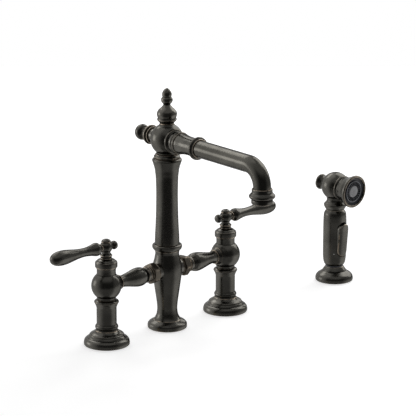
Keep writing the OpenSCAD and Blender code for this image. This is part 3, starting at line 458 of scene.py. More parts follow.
def plain(name, colour, rough, metallic=0.0, scale=500.0, spread=0.25, bump=0.08):
    """A moulded, cut or machined surface: a small change of tone and height from one noise."""
    m, tree, shader = new_material(name)
    tone = placed(tree, "patina", Cloud=scale / 12, Speckle=scale)
    low = tuple(c * (1 - spread) for c in colour)
    high = tuple(min(1, c * (1 + spread)) for c in colour)
    tree.links.new(mixed(tree, tone.outputs["Tone"], low, high), shader.inputs["Base Color"])
    r = maths(tree, "ADD", maths(tree, "MULTIPLY", tone.outputs["Fleck"], 0.12), rough - 0.06)
    tree.links.new(r, shader.inputs["Roughness"])
    shader.inputs["Metallic"].default_value = metallic
    bumped(tree, shader, tone.outputs["Fleck"], bump, 0.0003)
    return m


def nozzle_plastic_with_painted_highlight():
    """The ribbed ring in the spray's face: dark, with a painted highlight, paler, where the ribs and the
    inner ring come forward. The mask is the depth t along the face's axis, over 32.6 mm, within 15 mm of
    the axis."""
    m, tree, shader = new_material("ribbed nozzle plastic with painted highlight")
    coord = tree.nodes.new("ShaderNodeTexCoord")
    off = node(tree, "ShaderNodeVectorMath", operation="SUBTRACT")
    off.inputs[1].default_value = (SPRAY_X * 0.001, 0, HEAD_Z * 0.001)
    tree.links.new(coord.outputs["Object"], off.inputs[0])
    depth = node(tree, "ShaderNodeVectorMath", operation="DOT_PRODUCT")
    depth.inputs[1].default_value = HEAD_FRONT
    across = node(tree, "ShaderNodeVectorMath", operation="CROSS_PRODUCT")
    across.inputs[1].default_value = HEAD_FRONT
    away = node(tree, "ShaderNodeVectorMath", operation="LENGTH")
    for n in (depth, across):
        tree.links.new(off.outputs[0], n.inputs[0])
    tree.links.new(across.outputs[0], away.inputs[0])
    # painted highlight: the parts furthest forward near the axis turn pale grey
    tip = maths(tree, "MULTIPLY", stepped(tree, depth.outputs["Value"], 0.0326, 0.0333),
                maths(tree, "LESS_THAN", away.outputs["Value"], 0.015))
    tone = placed(tree, "patina", Cloud=120.0, Speckle=900.0)
    base = mixed(tree, tone.outputs["Tone"], (0.02, 0.022, 0.027), (0.036, 0.039, 0.048))
    tree.links.new(mixed(tree, tip, base, (0.34, 0.35, 0.38)), shader.inputs["Base Color"])
    shader.inputs["Roughness"].default_value = 0.4
    bumped(tree, shader, tone.outputs["Fleck"], 0.1, 0.0002)
    return m


GROUPS["patina"] = patina_group()
GROUPS["rubbed and highlighted edges"] = rub_and_highlight_group()
GROUPS["turning lines"] = turning_group()
BRONZE = bronze("oil rubbed bronze")
TUBE_BRONZE = bronze("oil rubbed bronze tube", (0.07, 0.067, 0.059), (0.132, 0.126, 0.11), lines=1.2)
PALE_BRONZE = bronze("oil rubbed bronze finial", (0.1, 0.095, 0.084), (0.19, 0.181, 0.16))
NUT_BRONZE = bronze("oil rubbed bronze nut", (0.075, 0.067, 0.056), (0.15, 0.132, 0.108), dull=0.38)
BRASS = plain("machined brass", (0.62, 0.47, 0.24), 0.34, 1.0)
STEEL = plain("stainless steel", (0.52, 0.51, 0.5), 0.3, 1.0)
RUBBER = plain("black rubber", (0.022, 0.022, 0.022), 0.72)
DARK_PLASTIC = plain("dark moulded plastic", (0.06, 0.065, 0.08), 0.5)
GREY_PLASTIC = plain("grey nozzle plastic", (0.5, 0.5, 0.52), 0.45, bump=0.2)
NOZZLE_PLASTIC_WITH_PAINTED_HIGHLIGHT = nozzle_plastic_with_painted_highlight()
CERAMIC = plain("white ceramic", (0.8, 0.78, 0.73), 0.2)


# Centre column

def gasket_seat(top):
    """The way in from the top of a foot: down the shank's hole and out over the gasket recess."""
    return [(10.58, top), (10.58, 2), (20.1, 2), (20.1, 0)]


def build_column():
    r, h = 24.7, 11
    foot = chain(curve([(r - 1.4, 0), (r - 0.2, 1), (r, 2.4), (r, h - 6.4), (r - 0.4, h - 4.8),
                        (r - 1.6, h - 3.3), (r - 3.4, h - 2), (r - 5.6, h - 0.8),
                        (r - 7, h)]), gasket_seat(h))
    piece("foot-of-column", [lathe(foot, closed=True)], "base", BRONZE, "centre_foot")
    v, w, b = 18.3, 12.6, BRIDGE_Z
    vase = chain(curve([(r - 7.3, h), (w + 3, h + 2.3), (w + 1.1, h + 6.4), (w + 0.3, h + 10.6),
                        (w, h + 15.4), (w + 0.7, b - 40.6), (w + 2.2, b - 30.2), (v - 2, b - 19.8),
                        (v - 0.6, b - 9.4), (v, b - 0.1), (v - 0.7, b + 8.2), (v - 2.1, b + 13.9),
                        (v - 3.25, VASE_TOP - 5.8), (v - 3.4, VASE_TOP - 3.8), (v - 3.1, VASE_TOP - 2),
                        (v - 2.6, VASE_TOP)]), [(8.5, VASE_TOP), (8.5, h)])
    boss = chain([(0, 5), (10.4, 5), (10.4, 20), (9.6, 20.8), (7.1, 20.8), (7.1, 14), (0, 14)])
    piece("vase-shaped-body", [lathe(vase, closed=True)]
          + [lathe(boss, (0, 0, BRIDGE_Z), d) for d in (LEFT, RIGHT)], "base", BRONZE, "centre_body")
    r, h = 18.6, 7.8
    nut = chain(curve([(r - 2.8, 0), (r - 1.9, 0.8), (r - 0.8, 2), (r - 0.2, 3.4), (r, h - 2.8),
                       (r - 0.1, h - 1.6), (r - 0.8, h - 0.6), (r - 2.2, h)]), [(12.1, h), (12.1, 0)])
    piece("ring-nut-of-column", [lathe(nut, (0, 0, VASE_TOP), closed=True)], "base", BRONZE, "ring_nut")
    r, rim, foot, h, top = 13.5, 18.45, COLUMN_FOOT, COLUMN_TOP - COLUMN_FOOT, COLUMN_TOP
    tube = chain([(10, VASE_TOP - 10), (12, VASE_TOP - 10), (12, foot)],
                 curve([(r + 1.9, foot), (r + 1.62, foot + 0.098 * h), (r + 0.93, foot + 0.215 * h),
                        (r + 0.42, foot + 0.332 * h), (r + 0.16, foot + 0.449 * h), (r, foot + 0.588 * h),
                        (r + 0.19, top - 33.7), (r + 0.55, top - 23.6), (r + 1.1, top - 18.5),
                        (rim - 3.2, top - 13.4), (rim - 1.8, top - 8.3), (rim - 0.2, top - 3.4),
                        (rim, top - 2.4), (rim - 0.2, top - 1.4), (rim - 0.8, top - 0.6),
                        (rim - 1.8, top)]),
                 [(10, top)])
    piece("column", [lathe(tube, closed=True)], "base", BRONZE, "column_tube")
    collar = chain(curve([(15.7, 0), (15.8, 0.9), (16.3, 1.8), (16.3, 2.7), (15.7, 3.6), (14.8, 4.5),
                          (14.4, 5.7)]),
                   [(9.6, 5.7), (9.6, 0)])
    piece("collar-under-spout", [lathe(collar, (0, 0, COLUMN_TOP), closed=True)], "base", BRONZE,
          "swivel_collar")


# Bridge and valves

def build_bridge():
    start, end, r, neck = 34.2, VALVE_X - BOSS_L, 11.9, 7.45
    bulge, length = end - start - 7.2, end - start
    disc = curve([(9, 0), (9.8, 0.8), (9.8, 3.7), (9.2, 4.4), (8.5, 5), (8.6, 5.8), (9.5, 7)])
    form = curve([(r - 0.8, 7.2 + 0.06 * bulge), (r, 7.2 + 0.16 * bulge), (r - 0.3, 7.2 + 0.3 * bulge),
                  (r - 1.4, 7.2 + 0.45 * bulge), (neck + 1.75, 7.2 + 0.6 * bulge),
                  (neck + 0.6, 7.2 + 0.75 * bulge), (neck, 7.2 + 0.88 * bulge), (neck + 0.3, length)])
    arm = chain([(4.6, 0)], disc, form, [(6, length), (6, length + 7), (4.6, length + 7)]) + (0, start)
    for side, d in (("left", LEFT), ("right", RIGHT)):
        piece(f"bridge-arm-{side}", [lathe(arm, (0, 0, BRIDGE_Z), d, closed=True)], "base", BRONZE,
              f"bridge_arm_{side}")
    collar = [(7.1, 21), (10.4, 21), (10.4, 22.9), (7.1, 22.9)]
    shoulder = chain([(7.1, 30.2)], curve([(10, 30.2), (10.1, 31), (9.6, 31.8), (9.1, 32.3), (9.4, 33),
                                           (9, 34.1)]), [(7.1, 34.1)])
    nuts = [hex_ring(23.4, 7.1, 22.4, 30.2, (0, 0, BRIDGE_Z), d, turn)
            for d, turn in ((LEFT, 0), (RIGHT, math.pi / 6))]
    nuts += [lathe(form, (0, 0, BRIDGE_Z), d, closed=True) for form in (collar, shoulder)
             for d in (LEFT, RIGHT)]
    piece("union-nuts-of-bridge", nuts, "base", NUT_BRONZE, "union_nuts")


def build_valves():
    r, h, s = 28.3, 18.6, 12.35
    flange = chain(curve([(r - 1.6, 0), (r - 0.4, 0.9), (r, 2.6), (r - 0.25, 5), (r - 1.15, 7.4),
                          (r - 3, h - 9.4)]),
                   curve([(r - 4.8, h - 8.9), (r - 5.3, h - 8), (r - 5.8, h - 7.1), (r - 6.5, h - 6.2)]),
                   curve([(r - 6.9, h - 5.9), (r - 7.4, h - 4.6), (r - 9.1, h - 3.4), (r - 11.2, h - 2.3),
                          (s + 3.4, h - 1.2), (s + 2.1, h)]), gasket_seat(h))
    t = SLEEVE_TOP
    sleeve = chain(curve([(s + 1.8, h), (s + 1.1, h + 1.2), (s + 1.1, h + 2.2), (s + 1.6, h + 3.2),
                          (s + 1.95, h + 4.4), (s + 1.6, h + 5.8), (s + 0.7, h + 7.1), (s, h + 8.4)]),
                   curve([(s, t - 10), (s + 0.3, t - 8.6), (s + 0.85, t - 7.3), (s + 1.3, t - 6),
                          (s + 1.9, t - 4.8), (s + 2.6, t - 3.5), (s + 2.85, t - 2.4), (s + 2.2, t - 1.2),
                          (s + 0.2, t)]),
                   [(10.58, t), (10.58, h)])
    r = 18.6
    foot = math.radians(46)
    ball = chain(curve([(11.3, t), (11.5, t + 1.4),
                        (r * math.cos(foot) - 0.8, BRIDGE_Z - r * math.sin(foot) - 0.8)]),
                 arc(r, BRIDGE_Z, -46, 51),
                 curve([(11.7, BRIDGE_Z + 15.3), (11.7, BONNET_Z - 3.4), (11.9, BONNET_Z - 2),
                        (12.4, BONNET_Z - 1), (12.5, BONNET_Z)]), [(8.6, BONNET_Z), (8.6, t)])
    k = BOSS_L
    boss = chain([(0, k - 6.4)], curve([(11, k - 6.4), (9.4, k - 4), (8.6, k - 2.9), (8.4, k - 2.3),
                                        (8.9, k - 1.6), (9.1, k - 0.9), (8.9, k - 0.4),
                                        (8.2, k)]), [(6.1, k), (6.1, k - 7), (0, k - 7)])
    r, h = 13.75, 10.5
    bonnet = chain(curve([(r - 0.9, 0), (r - 0.1, 0.7), (r, 1.8), (r, h - 5.4), (r - 0.15, h - 4.1),
                          (r - 0.7, h - 3.3), (r - 1.9, h - 2.6), (r - 2.7, h - 1.6), (r - 3.9, h - 0.8),
                          (r - 5.9, h)]),
                   [(3.55, h), (3.55, 2.1), (10.3, 2.1), (10.3, 0)])
    sides = ((-VALVE_X, RIGHT), (VALVE_X, LEFT))
    piece("flanges-of-valves", [lathe(flange, (x, 0, 0), closed=True) for x, _ in sides], "base", BRONZE,
          "flanges")
    piece("ringed-sleeves", [lathe(sleeve, (x, 0, 0), closed=True) for x, _ in sides], "base", BRONZE,
          "riser_sleeves")
    piece("bonnets-of-valves", [lathe(bonnet, (x, 0, BONNET_Z), closed=True) for x, _ in sides], "base",
          BRONZE, "bonnets")
    for name, (x, inwards) in zip(("left", "right"), sides):
        forms = [lathe(ball, (x, 0, 0), closed=True), lathe(boss, (x, 0, BRIDGE_Z), inwards)]
        piece(f"valve-ball-{name}", forms, "base", BRONZE, f"valve_body_{name}")


def build_handles():
    r, z = 7.8, BONNET_TOP + 0.3
    cap_z = 0.766 * r
    neck_angle = math.radians(46)
    hub = chain([(0, z)], curve([(6.9, z), (7.2, z + 0.8), (6.7, z + 1.7), (6.8, z + 2.6), (7.5, z + 3.6),
                                 (7.5, z + 4.6), (6.7, z + 5.5), (5.6, z + 6.4), (5.3, z + 7.4),
                                 (r * math.cos(neck_angle), LEVER_Z - r * math.sin(neck_angle) - 0.4)]),
                arc(r, LEVER_Z, -44, 50), [(2, LEVER_Z + cap_z), (0, LEVER_Z + cap_z)])
    cap = chain([(0, cap_z)], curve([(0.72 * r, cap_z), (0.76 * r, cap_z + 0.6), (0.73 * r, cap_z + 1.5),
                                     (0.6 * r, cap_z + 2.8), (0.36 * r, cap_z + 3.8), (0, cap_z + 4.1)]))
    seat, bulb = 4.2, 9.1
    lever = chain([(0, 4), (3, 4), (3, r - 0.9), (seat, r - 0.9)],
                  curve([(seat, r + 0.5), (5.3, r + 1.4), (5.4, r + 2.3), (4.6, r + 3.3), (4.7, r + 4)]),
                  curve([(5.6, 12.4), (7.4, 13.7), (8.1, 15.4), (8.2, 17), (8, 18.7), (7.4, 21),
                         (6.5, 25.3), (5.8, 30.4), (5.5, 35.5), (5.65, 40.6), (6.2, 47.2),
                         (bulb - 1.8, 54.7), (bulb - 0.65, 62.2), (bulb - 0.05, 67.8), (bulb, 72.5),
                         (bulb - 0.45, 77.6), (bulb - 1.75, 82.3), (bulb - 3.9, 85.8), (bulb - 6.4, 87.4),
                         (0, 88)]))
    k = r - 0.6
    knob = chain([(0, 4), (2.5, 4), (2.5, k)],
                 curve([(3.1, k), (2.9, k + 1.1), (3.3, k + 2.2), (4.6, k + 3.2), (5.3, k + 4.5),
                        (5.3, k + 6.2), (4.7, k + 7.8), (3.2, k + 8.8), (0, k + 9.3)]))
    for side, x, outwards, inwards in (("left", -VALVE_X, LEFT, RIGHT), ("right", VALVE_X, RIGHT, LEFT)):
        body, at = f"{side}_handle", (x, 0, LEVER_Z)
        piece(f"handle-hub-{side}", [lathe(hub, (x, 0, 0))], body, BRONZE, f"hub_{side}")
        piece(f"handle-cap-{side}", [lathe(cap, at)], body, BRONZE, f"hub_cap_{side}")
        piece(f"lever-handle-{side}", [lathe(lever, at, outwards)], body, BRONZE, f"lever_{side}")
        piece(f"handle-knob-{side}", [lathe(knob, at, inwards)], body, BRONZE, f"hub_knob_{side}")


# Spout

def build_spout():
    at = (0, 0, SPOUT_Z)
    front, back = SPOUT_FRONT, -SPOUT_FRONT
    r, neck_r, neck, top, n, w = 20.5, 13.2, 223.5 - SPOUT_Z, 20.2, 25.3, 4.3
    ball = chain([(9.55, neck), (neck_r - 0.4, neck), (neck_r, neck + 0.6)],
                 arc(r, 0, -math.degrees(math.acos(neck_r / r)), 57),
                 curve([(10.1, top - 2), (9.2, top - 0.9), (9, top)]), [(7.6, top), (7.6, 11.2),
                                                                        (9.55, 7.4)])
    collar = chain([(0, 11)], curve([(14.4, 11), (15.3, 14.2), (15.4, 15.8), (15, 16.9), (13.6, 17.8),
                                     (12.9, 18.6), (12.9, 19.3), (13.4, 20), (13.7, 21.2), (13.7, n - 2),
                                     (13.3, n - 0.8), (12.8, n)]),
                   [(9, n), (9, 14.2), (0, 14.2)])
    boss = [(0, 10), (8.8, 10), (8.8, 26.7), (8.3, 27.2), (4.1, 27.2), (4.1, 20), (0, 20)]
    piece("ball-of-spout", [lathe(ball, at, closed=True), lathe(collar, at, front), lathe(boss, at, back)],
          "spout", BRONZE, "spout_ball")
    tip = chain([(0, -3), (7.5, -3), (7.5, 0)],
                curve([(8.8, 0), (9.3, 1.2), (11, 3), (11.95, 4.2), (12.15, 5.2), (11.6, 6.5), (11.45, 7.5),
                       (12.1, 9.1), (12.5, 11.2), (12.35, 12.9), (11.5, 15.3), (9.5, 17.8), (6.9, 20.3),
                       (4.9, 22.6), (4.4, 23.8), (5.6, 25.4), (6.9, 27.2), (7.3, 29.4), (6.9, 31.3),
                       (5.8, 32.9), (5.6, 33.8), (6, 35), (6.1, 36.6), (5.8, 38), (5.1, 39.6), (4, 41.3),
                       (2.4, 43), (1, 43.8), (0, 44)])) + (0, top)
    piece("finial-of-spout", [lathe(tip, at)], "spout", PALE_BRONZE, "finial")
    rear = chain([(0, -6.8), (4, -6.8), (4, 0)],
                 curve([(9.2, 0), (10.4, 0.7), (10.6, 1.6), (9.7, 2.5), (9.9, 3.2), (11.9, 4), (12.3, 5),
                        (11.9, 6.1), (9.6, 7.2), (6.6, 8.6), (5.2, 11), (5.1, 15.4), (6.2, 17.8),
                        (8.8, 19.6), (9.8, 21.5), (9.9, 23.7), (9.3, 26.1), (7.7, 28.3), (4.7, 29.9),
                        (0, 30.5)])) + (0, 27.2)
    piece("knob-behind-spout", [lathe(rear, at, back)], "spout", BRONZE, "rear_knob")
    nut = chain(curve([(12.8, 0), (13.6, 0.6), (13.9, 1.6), (13.9, w - 1.4), (13.5, w - 0.5), (12.6, w)]),
                [(9, w), (9, 0)]) + (0, n)
    piece("ring-of-spout", [lathe(nut, at, front, closed=True)], "spout", BRONZE, "spout_nut")
    a, start = TUBE_R + 0.75, n + w + 0.1
    socket = chain([(7.2, 14.5), (8.9, 14.5), (8.9, start)],
                   curve([(12.5, start), (12.9, start + 0.9), (12.6, 33.4), (a + 0.5, 38), (a + 0.1, 43),
                          (a, 48), (a + 0.2, 53), (a + 0.6, 57.5), (a + 0.8, 59.6)]),
                   curve([(a + 2.1, 60.3), (a + 2.8, 61.5), (a + 2.8, 62.8), (a + 2.1, 63.9)]),
                   curve([(a + 0.9, 64.6), (a + 0.2, 66.3)]),
                   [(TUBE_R + 0.1, 66.3), (TUBE_R + 0.1, 52), (7.2, 52)])
    piece("socket-of-spout", [lathe(socket, at, front, closed=True)], "spout", BRONZE, "spout_adapter")
    straight, bend, reach = 52.1, 25.0, 184.4
    run = np.linspace(straight, reach - bend, 60)
    turn = np.linspace(0, math.pi / 2, 42)[1:]
    drop = np.linspace(0, 9, 8)[1:]
    along = np.concatenate([run, reach - bend + bend * np.sin(turn), np.full(len(drop), reach)])
    low = np.concatenate([np.zeros(len(run)), -bend + bend * np.cos(turn), -bend - drop])
    path = along[:, None] * front[None, :] + low[:, None] * UP[None, :] + np.array(at)
    piece("bent-tube-of-spout", [sweep(path, TUBE_R)], "spout", TUBE_BRONZE, "spout_tube")
    r, h = TUBE_R + 1.7, 18.8
    shell = chain(curve([(r - 0.9, 0), (r, 0.6), (r + 0.4, 1.8), (r + 0.5, 4), (r + 0.2, 5.4), (r + 0.1, 6),
                         (r + 1.4, 6.9), (r + 2.8, 8.1), (r + 3.2, 9.4), (r + 3.1, 10.6), (r + 1.9, 12.2),
                         (r + 0.6, 13.5), (r, h - 4), (r, h - 1.5), (r - 0.2, h - 0.6), (r - 0.7, h)]),
                  [(TUBE_R + 0.1, h), (TUBE_R + 0.1, 9.7), (9, 9.7), (9, 6.8), (9.8, 6.8), (9.8, 0)])
    piece("outlet-of-spout", [lathe(shell, reach * front + np.array((0, 0, SPOUT_Z - 43.8)), closed=True)],
          "spout", BRONZE, "outlet_shell")


# Side spray

def apply_cut(obj, v):
    """Takes a straight bar out of a piece and keeps the piece's material. The bar is given by the
    points of its two ends, one ring after the other."""
    around = len(v) // 2
    k = np.arange(around)
    faces = wall(2, around).tolist() + [k[::-1].tolist(), (around + k).tolist()]
    mesh = bpy.data.meshes.new("cutter")
    mesh.from_pydata((v * 0.001).tolist(), [], faces)
    cutter = bpy.data.objects.new("cutter", mesh)
    bpy.context.scene.collection.objects.link(cutter)
    m = obj.modifiers.new("cut", "BOOLEAN")
    m.operation, m.object, m.solver = "DIFFERENCE", cutter, "EXACT"
    cut = bpy.data.meshes.new_from_object(obj.evaluated_get(bpy.context.evaluated_depsgraph_get()))
    obj.modifiers.clear()
    old = obj.data
    obj.data = cut
    bpy.data.objects.remove(cutter)
    bpy.data.meshes.remove(mesh)
    bpy.data.meshes.remove(old)
    obj.data.set_sharp_from_angle(angle=SMOOTH_ANGLE)


def upright(rings, depths):
    """The points of flat outlines that stand one in front of the other, at depths along -Y."""
    return np.vstack([np.stack([r[:, 0], np.broadcast_to(-y, len(r)), r[:, 1]], 1)
                      for r, y in zip(rings, depths)])


def trigger_surface():
    """The paddle: rings of a stadium outline, each a little further in. The outer ones go round the
    edge on a quarter circle of 1.5 mm, and the rest lie on the drum of 16.45 mm about the grip."""
    edge, drum, back, w = 1.5, 16.45, 9.6, 17.4
    low, high = 13.5, 58.5
    q = np.linspace(0, math.pi / 2, 9)
    insets = np.concatenate([[0], edge * (1 - np.cos(q)), np.linspace(edge, w / 2 - 0.8, 10)[1:]])
    fall = np.concatenate([[0], edge * (1 - np.sin(q)), np.zeros(9)])
    rings, depth = [], []
    for i, (d, f) in enumerate(zip(insets, fall)):
        ring = stadium(w, low, high, d)
        rings.append(ring)
        depth.append(np.full(len(ring), back) if i == 0 else np.sqrt(drum ** 2 - ring[:, 0] ** 2) - f)
    n, around = len(rings), len(rings[0])
    middle = (low + high) / 2
    v = np.vstack([upright(rings, depth), [[0, -back, middle], [0, -drum, middle]]])
    c, s = math.cos(TRIGGER_SWING), math.sin(TRIGGER_SWING)
    v = (v - TRIGGER_PIVOT) @ np.array([[1, 0, 0], [0, c, -s], [0, s, c]]).T + TRIGGER_PIVOT
    v += (SPRAY_X, 0, GRIP_Z)
    bend = np.zeros(n * around + 2)
    # the rounded edge gets a bend of 0.9, a painted highlight through the rubbed-edge mask
    bend[around * 3:around * 8] = 0.9
    grain = v * (0.2, 0.2, 0.9)
    return {"v": v, "quads": wall(n, around), "tris": end_fans(n, around), "grain": grain, "bend": bend}


def rib(low, high, inner, outer, w, turn):
    """A straight bar that points away from the axis, at an angle about it: a six-sided section,
    narrower at the top, drawn out from the inner radius to the outer one."""
    section = [(-w, low), (w, low), (w, high - 0.5), (w / 2, high), (-w / 2, high), (-w, high - 0.5)]
    v = np.vstack([np.column_stack([np.full(6, r), section]) for r in (inner, outer)])
    c, s = math.cos(turn), math.sin(turn)
    v = (v @ np.array([[c, s, 0], [-s, c, 0], [0, 0, 1]])) @ facing(HEAD_FRONT).T + (SPRAY_X, 0, HEAD_Z)
    ends = [[3, 2, 1, 0], [5, 4, 3, 0], [6, 7, 8, 9], [6, 9, 10, 11]]
    return {"v": v, "quads": np.vstack([wall(2, 6), ends]), "tris": np.zeros((0, 3), int),
            "grain": v * 0.3, "bend": np.zeros(12)}


def build_spray():
    x, at = SPRAY_X, (SPRAY_X, 0, HEAD_Z)
    r, h = 25, 19.5
    holder = chain(curve([(r - 1.6, 0), (r - 0.4, 0.9), (r, 2.6), (r - 0.2, 5), (r - 1, 7.2),
                          (r - 2.8, 9.4), (r - 5.6, 11.2), (16.9, h - 6.6)]),
                   curve([(15.7, h - 6), (15.4, h - 4.9), (14.4, h - 3.3), (13.1, h - 1.4),
                          (12.1, h)]), gasket_seat(h))
    piece("holder-of-spray", [lathe(holder, (x, 0, 0), closed=True)], "base", BRONZE, "spray_holder")
    r, h = 15.45, 75
    grip = chain([(0, -10), (8.9, -10), (8.9, 0)],
                 curve([(11.9, 0), (12.7, 0.8), (13.6, 2.2), (r - 1, 4.8), (r - 0.5, 7.8), (r - 0.1, 12.5),
                        (r, 20), (r, h - 21), (r - 0.2, h - 12), (r - 0.6, h - 6), (r - 1.2, h - 3.6),
                        (r - 2.2, h - 1.8), (12.3, h - 0.5), (11.9, h)]), [(0, h)])
    obj = piece("grip-of-spray", [lathe(grip, (x, 0, GRIP_Z))], "handset", BRONZE, "spray_grip")
    drop = (r + 1 + TRIGGER_PIVOT[1]) * math.sin(TRIGGER_SWING)
    pocket = upright([stadium(18.2, 13.1 - drop, 60.1, 0)] * 2, (6.4, 17.5))
    apply_cut(obj, pocket + (x, 0, GRIP_Z))
    piece("trigger-paddle", [trigger_surface()], "spray_trigger", BRONZE, "trigger")
    r, b = 18.7, -31.8
    head = chain([(0, b - 8.4), (8.1, b - 8.4), (8.1, b)],
                 curve([(11.9, b), (12.4, b + 1.2), (13.4, b + 2.7), (14.1, b + 4), (14.8, b + 5.4),
                        (15.1, b + 6.8), (14.9, b + 8), (13.6, b + 9.6), (12.1, b + 11.3), (11.2, b + 13.4),
                        (11.3, b + 15.2)]),
                 arc(r, 0, -51, 90))
    piece("ball-of-spray-head", [lathe(head, at)], "handset", BRONZE)
    k = r - 1.2
    knob = chain([(0, 13.4), (3.5, 13.4), (3.5, k)],
                 curve([(6.7, k), (6.3, k + 1.6), (6.5, k + 3), (7.6, k + 4.8), (9.4, k + 6.4),
                        (10.2, k + 7.5), (10.2, k + 8.6), (9.5, k + 9.9), (6.7, k + 10.9), (0, k + 11.4)]))
    piece("knob-behind-spray-head", [lathe(knob, at, -HEAD_FRONT)], "handset", BRONZE, "head_knob")
    r, t, e = 21.5, 11, 35
    bell = chain([(0, t)], curve([(15.5, t), (16.4, t + 0.7), (16.6, t + 1.8), (16.3, t + 2.8),
                                  (15.6, t + 3.5)]),
                 curve([(15.1, t + 4), (15.1, t + 5), (15.5, t + 6.6), (16.4, t + 9.4), (r - 3.8, e - 11),
                        (r - 2.5, e - 8), (r - 1.3, e - 5.6), (r - 0.3, e - 3.6), (r, e - 2.6),
                        (r, e - 1.2), (r - 0.6, e - 0.3), (r - 1.4, e), (r - 2.3, e - 0.2),
                        (r - 2.9, e - 0.8), (r - 3, e - 1.6)]),
                 [(r - 3, e - 7), (0, e - 7)])
    obj = piece("bell-of-spray", [lathe(bell, at, HEAD_FRONT)], "handset", BRONZE, "spray_bell")
    u = np.arange(24) * math.pi / 12
    set_screw = np.vstack([np.stack([np.full(24, out), 1.3 * np.cos(u), 1.3 * np.sin(u)], 1)
                           for out in (-22, -9)])
    apply_cut(obj, set_screw + np.array(at) + 19.3 * HEAD_FRONT)
    dish = [(7.8, 28), (18.4, 28), (18.4, 32.7), (17.3, 32.4), (16.9, 31.6), (14.6, 31.2), (14, 33.3),
            (13.2, 33.3), (12.9, 30.6), (9, 30), (7.8, 30)]
    rib_count = 24
    ribs = [rib(29.5, 32.9, 8.6, 13, 0.5, i * 2 * math.pi / rib_count) for i in range(rib_count)]
    piece("ribbed-ring-of-spray", [lathe(dish, at, HEAD_FRONT, closed=True, ease=0.2)] + ribs, "handset",
          NOZZLE_PLASTIC_WITH_PAINTED_HIGHLIGHT, "nozzle_ring", slot="dark_plastic")


def finish_frame_nodes():
    """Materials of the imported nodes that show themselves."""
    by_slot = {"brass": BRASS, "steel": STEEL, "rubber": RUBBER, "dark_plastic": DARK_PLASTIC,
               "grey_plastic": GREY_PLASTIC, "ceramic": CERAMIC, "bronze": BRONZE}
    for part in frame["record"]["subparts"]:
        mesh = frame["nodes"][part["node"]].data
        mesh.materials.clear()
        mesh.materials.append(by_slot[part["material_slot"]])


# Studio

def build_floor():
    """A pale sheet, just under the feet, that ends before the camera."""
    near, far, half_width, low = 0.36, -1.6, 1.3, -0.0002
    mesh = bpy.data.meshes.new("studio floor")
    corners = [near * TOWARD - half_width * ASIDE, near * TOWARD + half_width * ASIDE,
               far * TOWARD + half_width * ASIDE, far * TOWARD - half_width * ASIDE]
    mesh.from_pydata([(c[0], c[1], low) for c in corners], [], [(0, 1, 2, 3)])
    floor = bpy.data.objects.new("studio-floor", mesh)
    bpy.context.scene.collection.objects.link(floor)
    m = bpy.data.materials.new("pale floor")
    m.use_nodes = True
    tree = m.node_tree
    tree.nodes.remove(tree.nodes["Principled BSDF"])
    path = tree.nodes.new("ShaderNodeLightPath")
    seen = maths(tree, "MAXIMUM", path.outputs["Is Camera Ray"], maths(
        tree, "MAXIMUM", path.outputs["Is Glossy Ray"], path.outputs["Is Transmission Ray"]))
    diffuse = tree.nodes.new("ShaderNodeBsdfDiffuse")
    diffuse.inputs["Color"].default_value = (0.9, 0.9, 0.9, 1)
    glow = tree.nodes.new("ShaderNodeEmission")
    glow.inputs["Color"].default_value = (1, 1, 1, 1)
    tree.links.new(maths(tree, "MULTIPLY", seen, 0.64), glow.inputs["Strength"])
    add = tree.nodes.new("ShaderNodeAddShader")
    tree.links.new(diffuse.outputs[0], add.inputs[0])
    tree.links.new(glow.outputs[0], add.inputs[1])
    # in the metal, the sheet is a faint sheen over the room's own light and dark
    clear = tree.nodes.new("ShaderNodeBsdfTransparent")
    mix = tree.nodes.new("ShaderNodeMixShader")
    tree.links.new(maths(tree, "MULTIPLY", path.outputs["Is Glossy Ray"], 0.78), mix.inputs["Fac"])
    tree.links.new(add.outputs[0], mix.inputs[1])
    tree.links.new(clear.outputs[0], mix.inputs[2])
    tree.links.new(mix.outputs[0], tree.nodes["Material Output"].inputs["Surface"])
    mesh.materials.append(m)


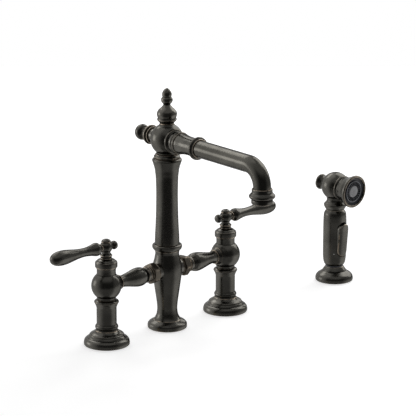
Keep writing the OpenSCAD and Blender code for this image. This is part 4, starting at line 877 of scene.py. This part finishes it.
def build_room():
    """A white room. The metal shows it dark behind the camera, pale low on the right, grey over
    that, and pale all the way up on the left and overhead."""
    world = bpy.data.worlds.new("pale room")
    bpy.context.scene.world = world
    world.use_nodes = True
    tree = world.node_tree
    tree.nodes.clear()
    out = tree.nodes.new("ShaderNodeOutputWorld")
    room = tree.nodes.new("ShaderNodeBackground")
    path = tree.nodes.new("ShaderNodeLightPath")
    coord = tree.nodes.new("ShaderNodeTexCoord")

    def along(direction):
        dot = node(tree, "ShaderNodeVectorMath", operation="DOT_PRODUCT")
        tree.links.new(coord.outputs["Generated"], dot.inputs[0])
        dot.inputs[1].default_value = direction
        return dot.outputs["Value"]

    side, height = maths(tree, "ARCTAN2", along(ASIDE), along(TOWARD)), along((0, 0, 1))
    depth = maths(tree, "MULTIPLY", height, -1.0)
    low = maths(tree, "ADD", maths(tree, "MULTIPLY", stepped(tree, depth, 0.1, 0.26), 0.95), 0.25)
    pale = maths(tree, "MAXIMUM", maths(tree, "MULTIPLY", stepped(tree, side, 0.8, 1.5), low),
                 stepped(tree, maths(tree, "MULTIPLY", side, -1.0), 0.45, 1.85))
    overhead = maths(tree, "MULTIPLY", stepped(tree, height, 0.45, 0.8), 0.34)
    pale = maths(tree, "MAXIMUM", pale, overhead)
    pale = maths(tree, "MAXIMUM", maths(tree, "MULTIPLY", path.outputs["Is Glossy Ray"], pale), maths(
        tree, "MAXIMUM", path.outputs["Is Camera Ray"], path.outputs["Is Transmission Ray"]))
    dull = mixed(tree, path.outputs["Is Diffuse Ray"], (0.06, 0.06, 0.06), (0.16, 0.16, 0.16))
    tree.links.new(mixed(tree, pale, dull, (1, 1, 1)), room.inputs["Color"])
    tree.links.new(room.outputs[0], out.inputs["Surface"])


def build_lamps():
    """Three soft lamps that face the middle of the object."""
    middle = Vector((0.05, -0.02, 0.12))
    for name, at, size, power in (("lamp right", (2.0, 0.25, 1.35), (1.9, 2.1), 32),
                                  ("lamp behind", (0.6, 1.9, 1.75), (1.5, 0.7), 10),
                                  ("lamp left", (-1.35, 1.95, 0.35), (1.0, 0.9), 6.5)):
        light = bpy.data.lights.new(name, "AREA")
        light.shape, light.size, light.size_y, light.energy = "RECTANGLE", size[0], size[1], power
        lamp = bpy.data.objects.new(name, light)
        lamp.location = at
        lamp.rotation_euler = (middle - Vector(at)).to_track_quat("-Z", "Y").to_euler()
        lamp.visible_camera = False
        bpy.context.scene.collection.objects.link(lamp)


def build_camera():
    """The photograph's viewpoint: 43.5 degrees to the left of the front, 14.8 degrees above."""
    turn, rise, far = math.radians(-43.5), math.radians(14.8), 3.1918
    back = Vector((math.sin(turn) * math.cos(rise), -math.cos(turn) * math.cos(rise), math.sin(rise)))
    right = Vector((math.cos(turn), math.sin(turn), 0))
    data = bpy.data.cameras.new("camera")
    data.lens, data.sensor_width = 222.79, 36.0
    data.clip_start, data.clip_end = 0.1, 60
    camera = bpy.data.objects.new("camera", data)
    camera.location = Vector((0.016112, 0, 0.15083)) + back * far
    aim = -back * 2568.1 + right * 31.39
    roll = Quaternion((0, 0, 1), math.radians(0.137))
    camera.rotation_euler = (aim.to_track_quat("-Z", "Y") @ roll).to_euler()
    bpy.context.scene.collection.objects.link(camera)
    bpy.context.scene.camera = camera


build_column()
build_bridge()
build_valves()
build_handles()
build_spout()
build_spray()
finish_frame_nodes()
build_floor()
build_room()
build_lamps()
build_camera()
bpy.context.scene.view_settings.view_transform = "Standard"
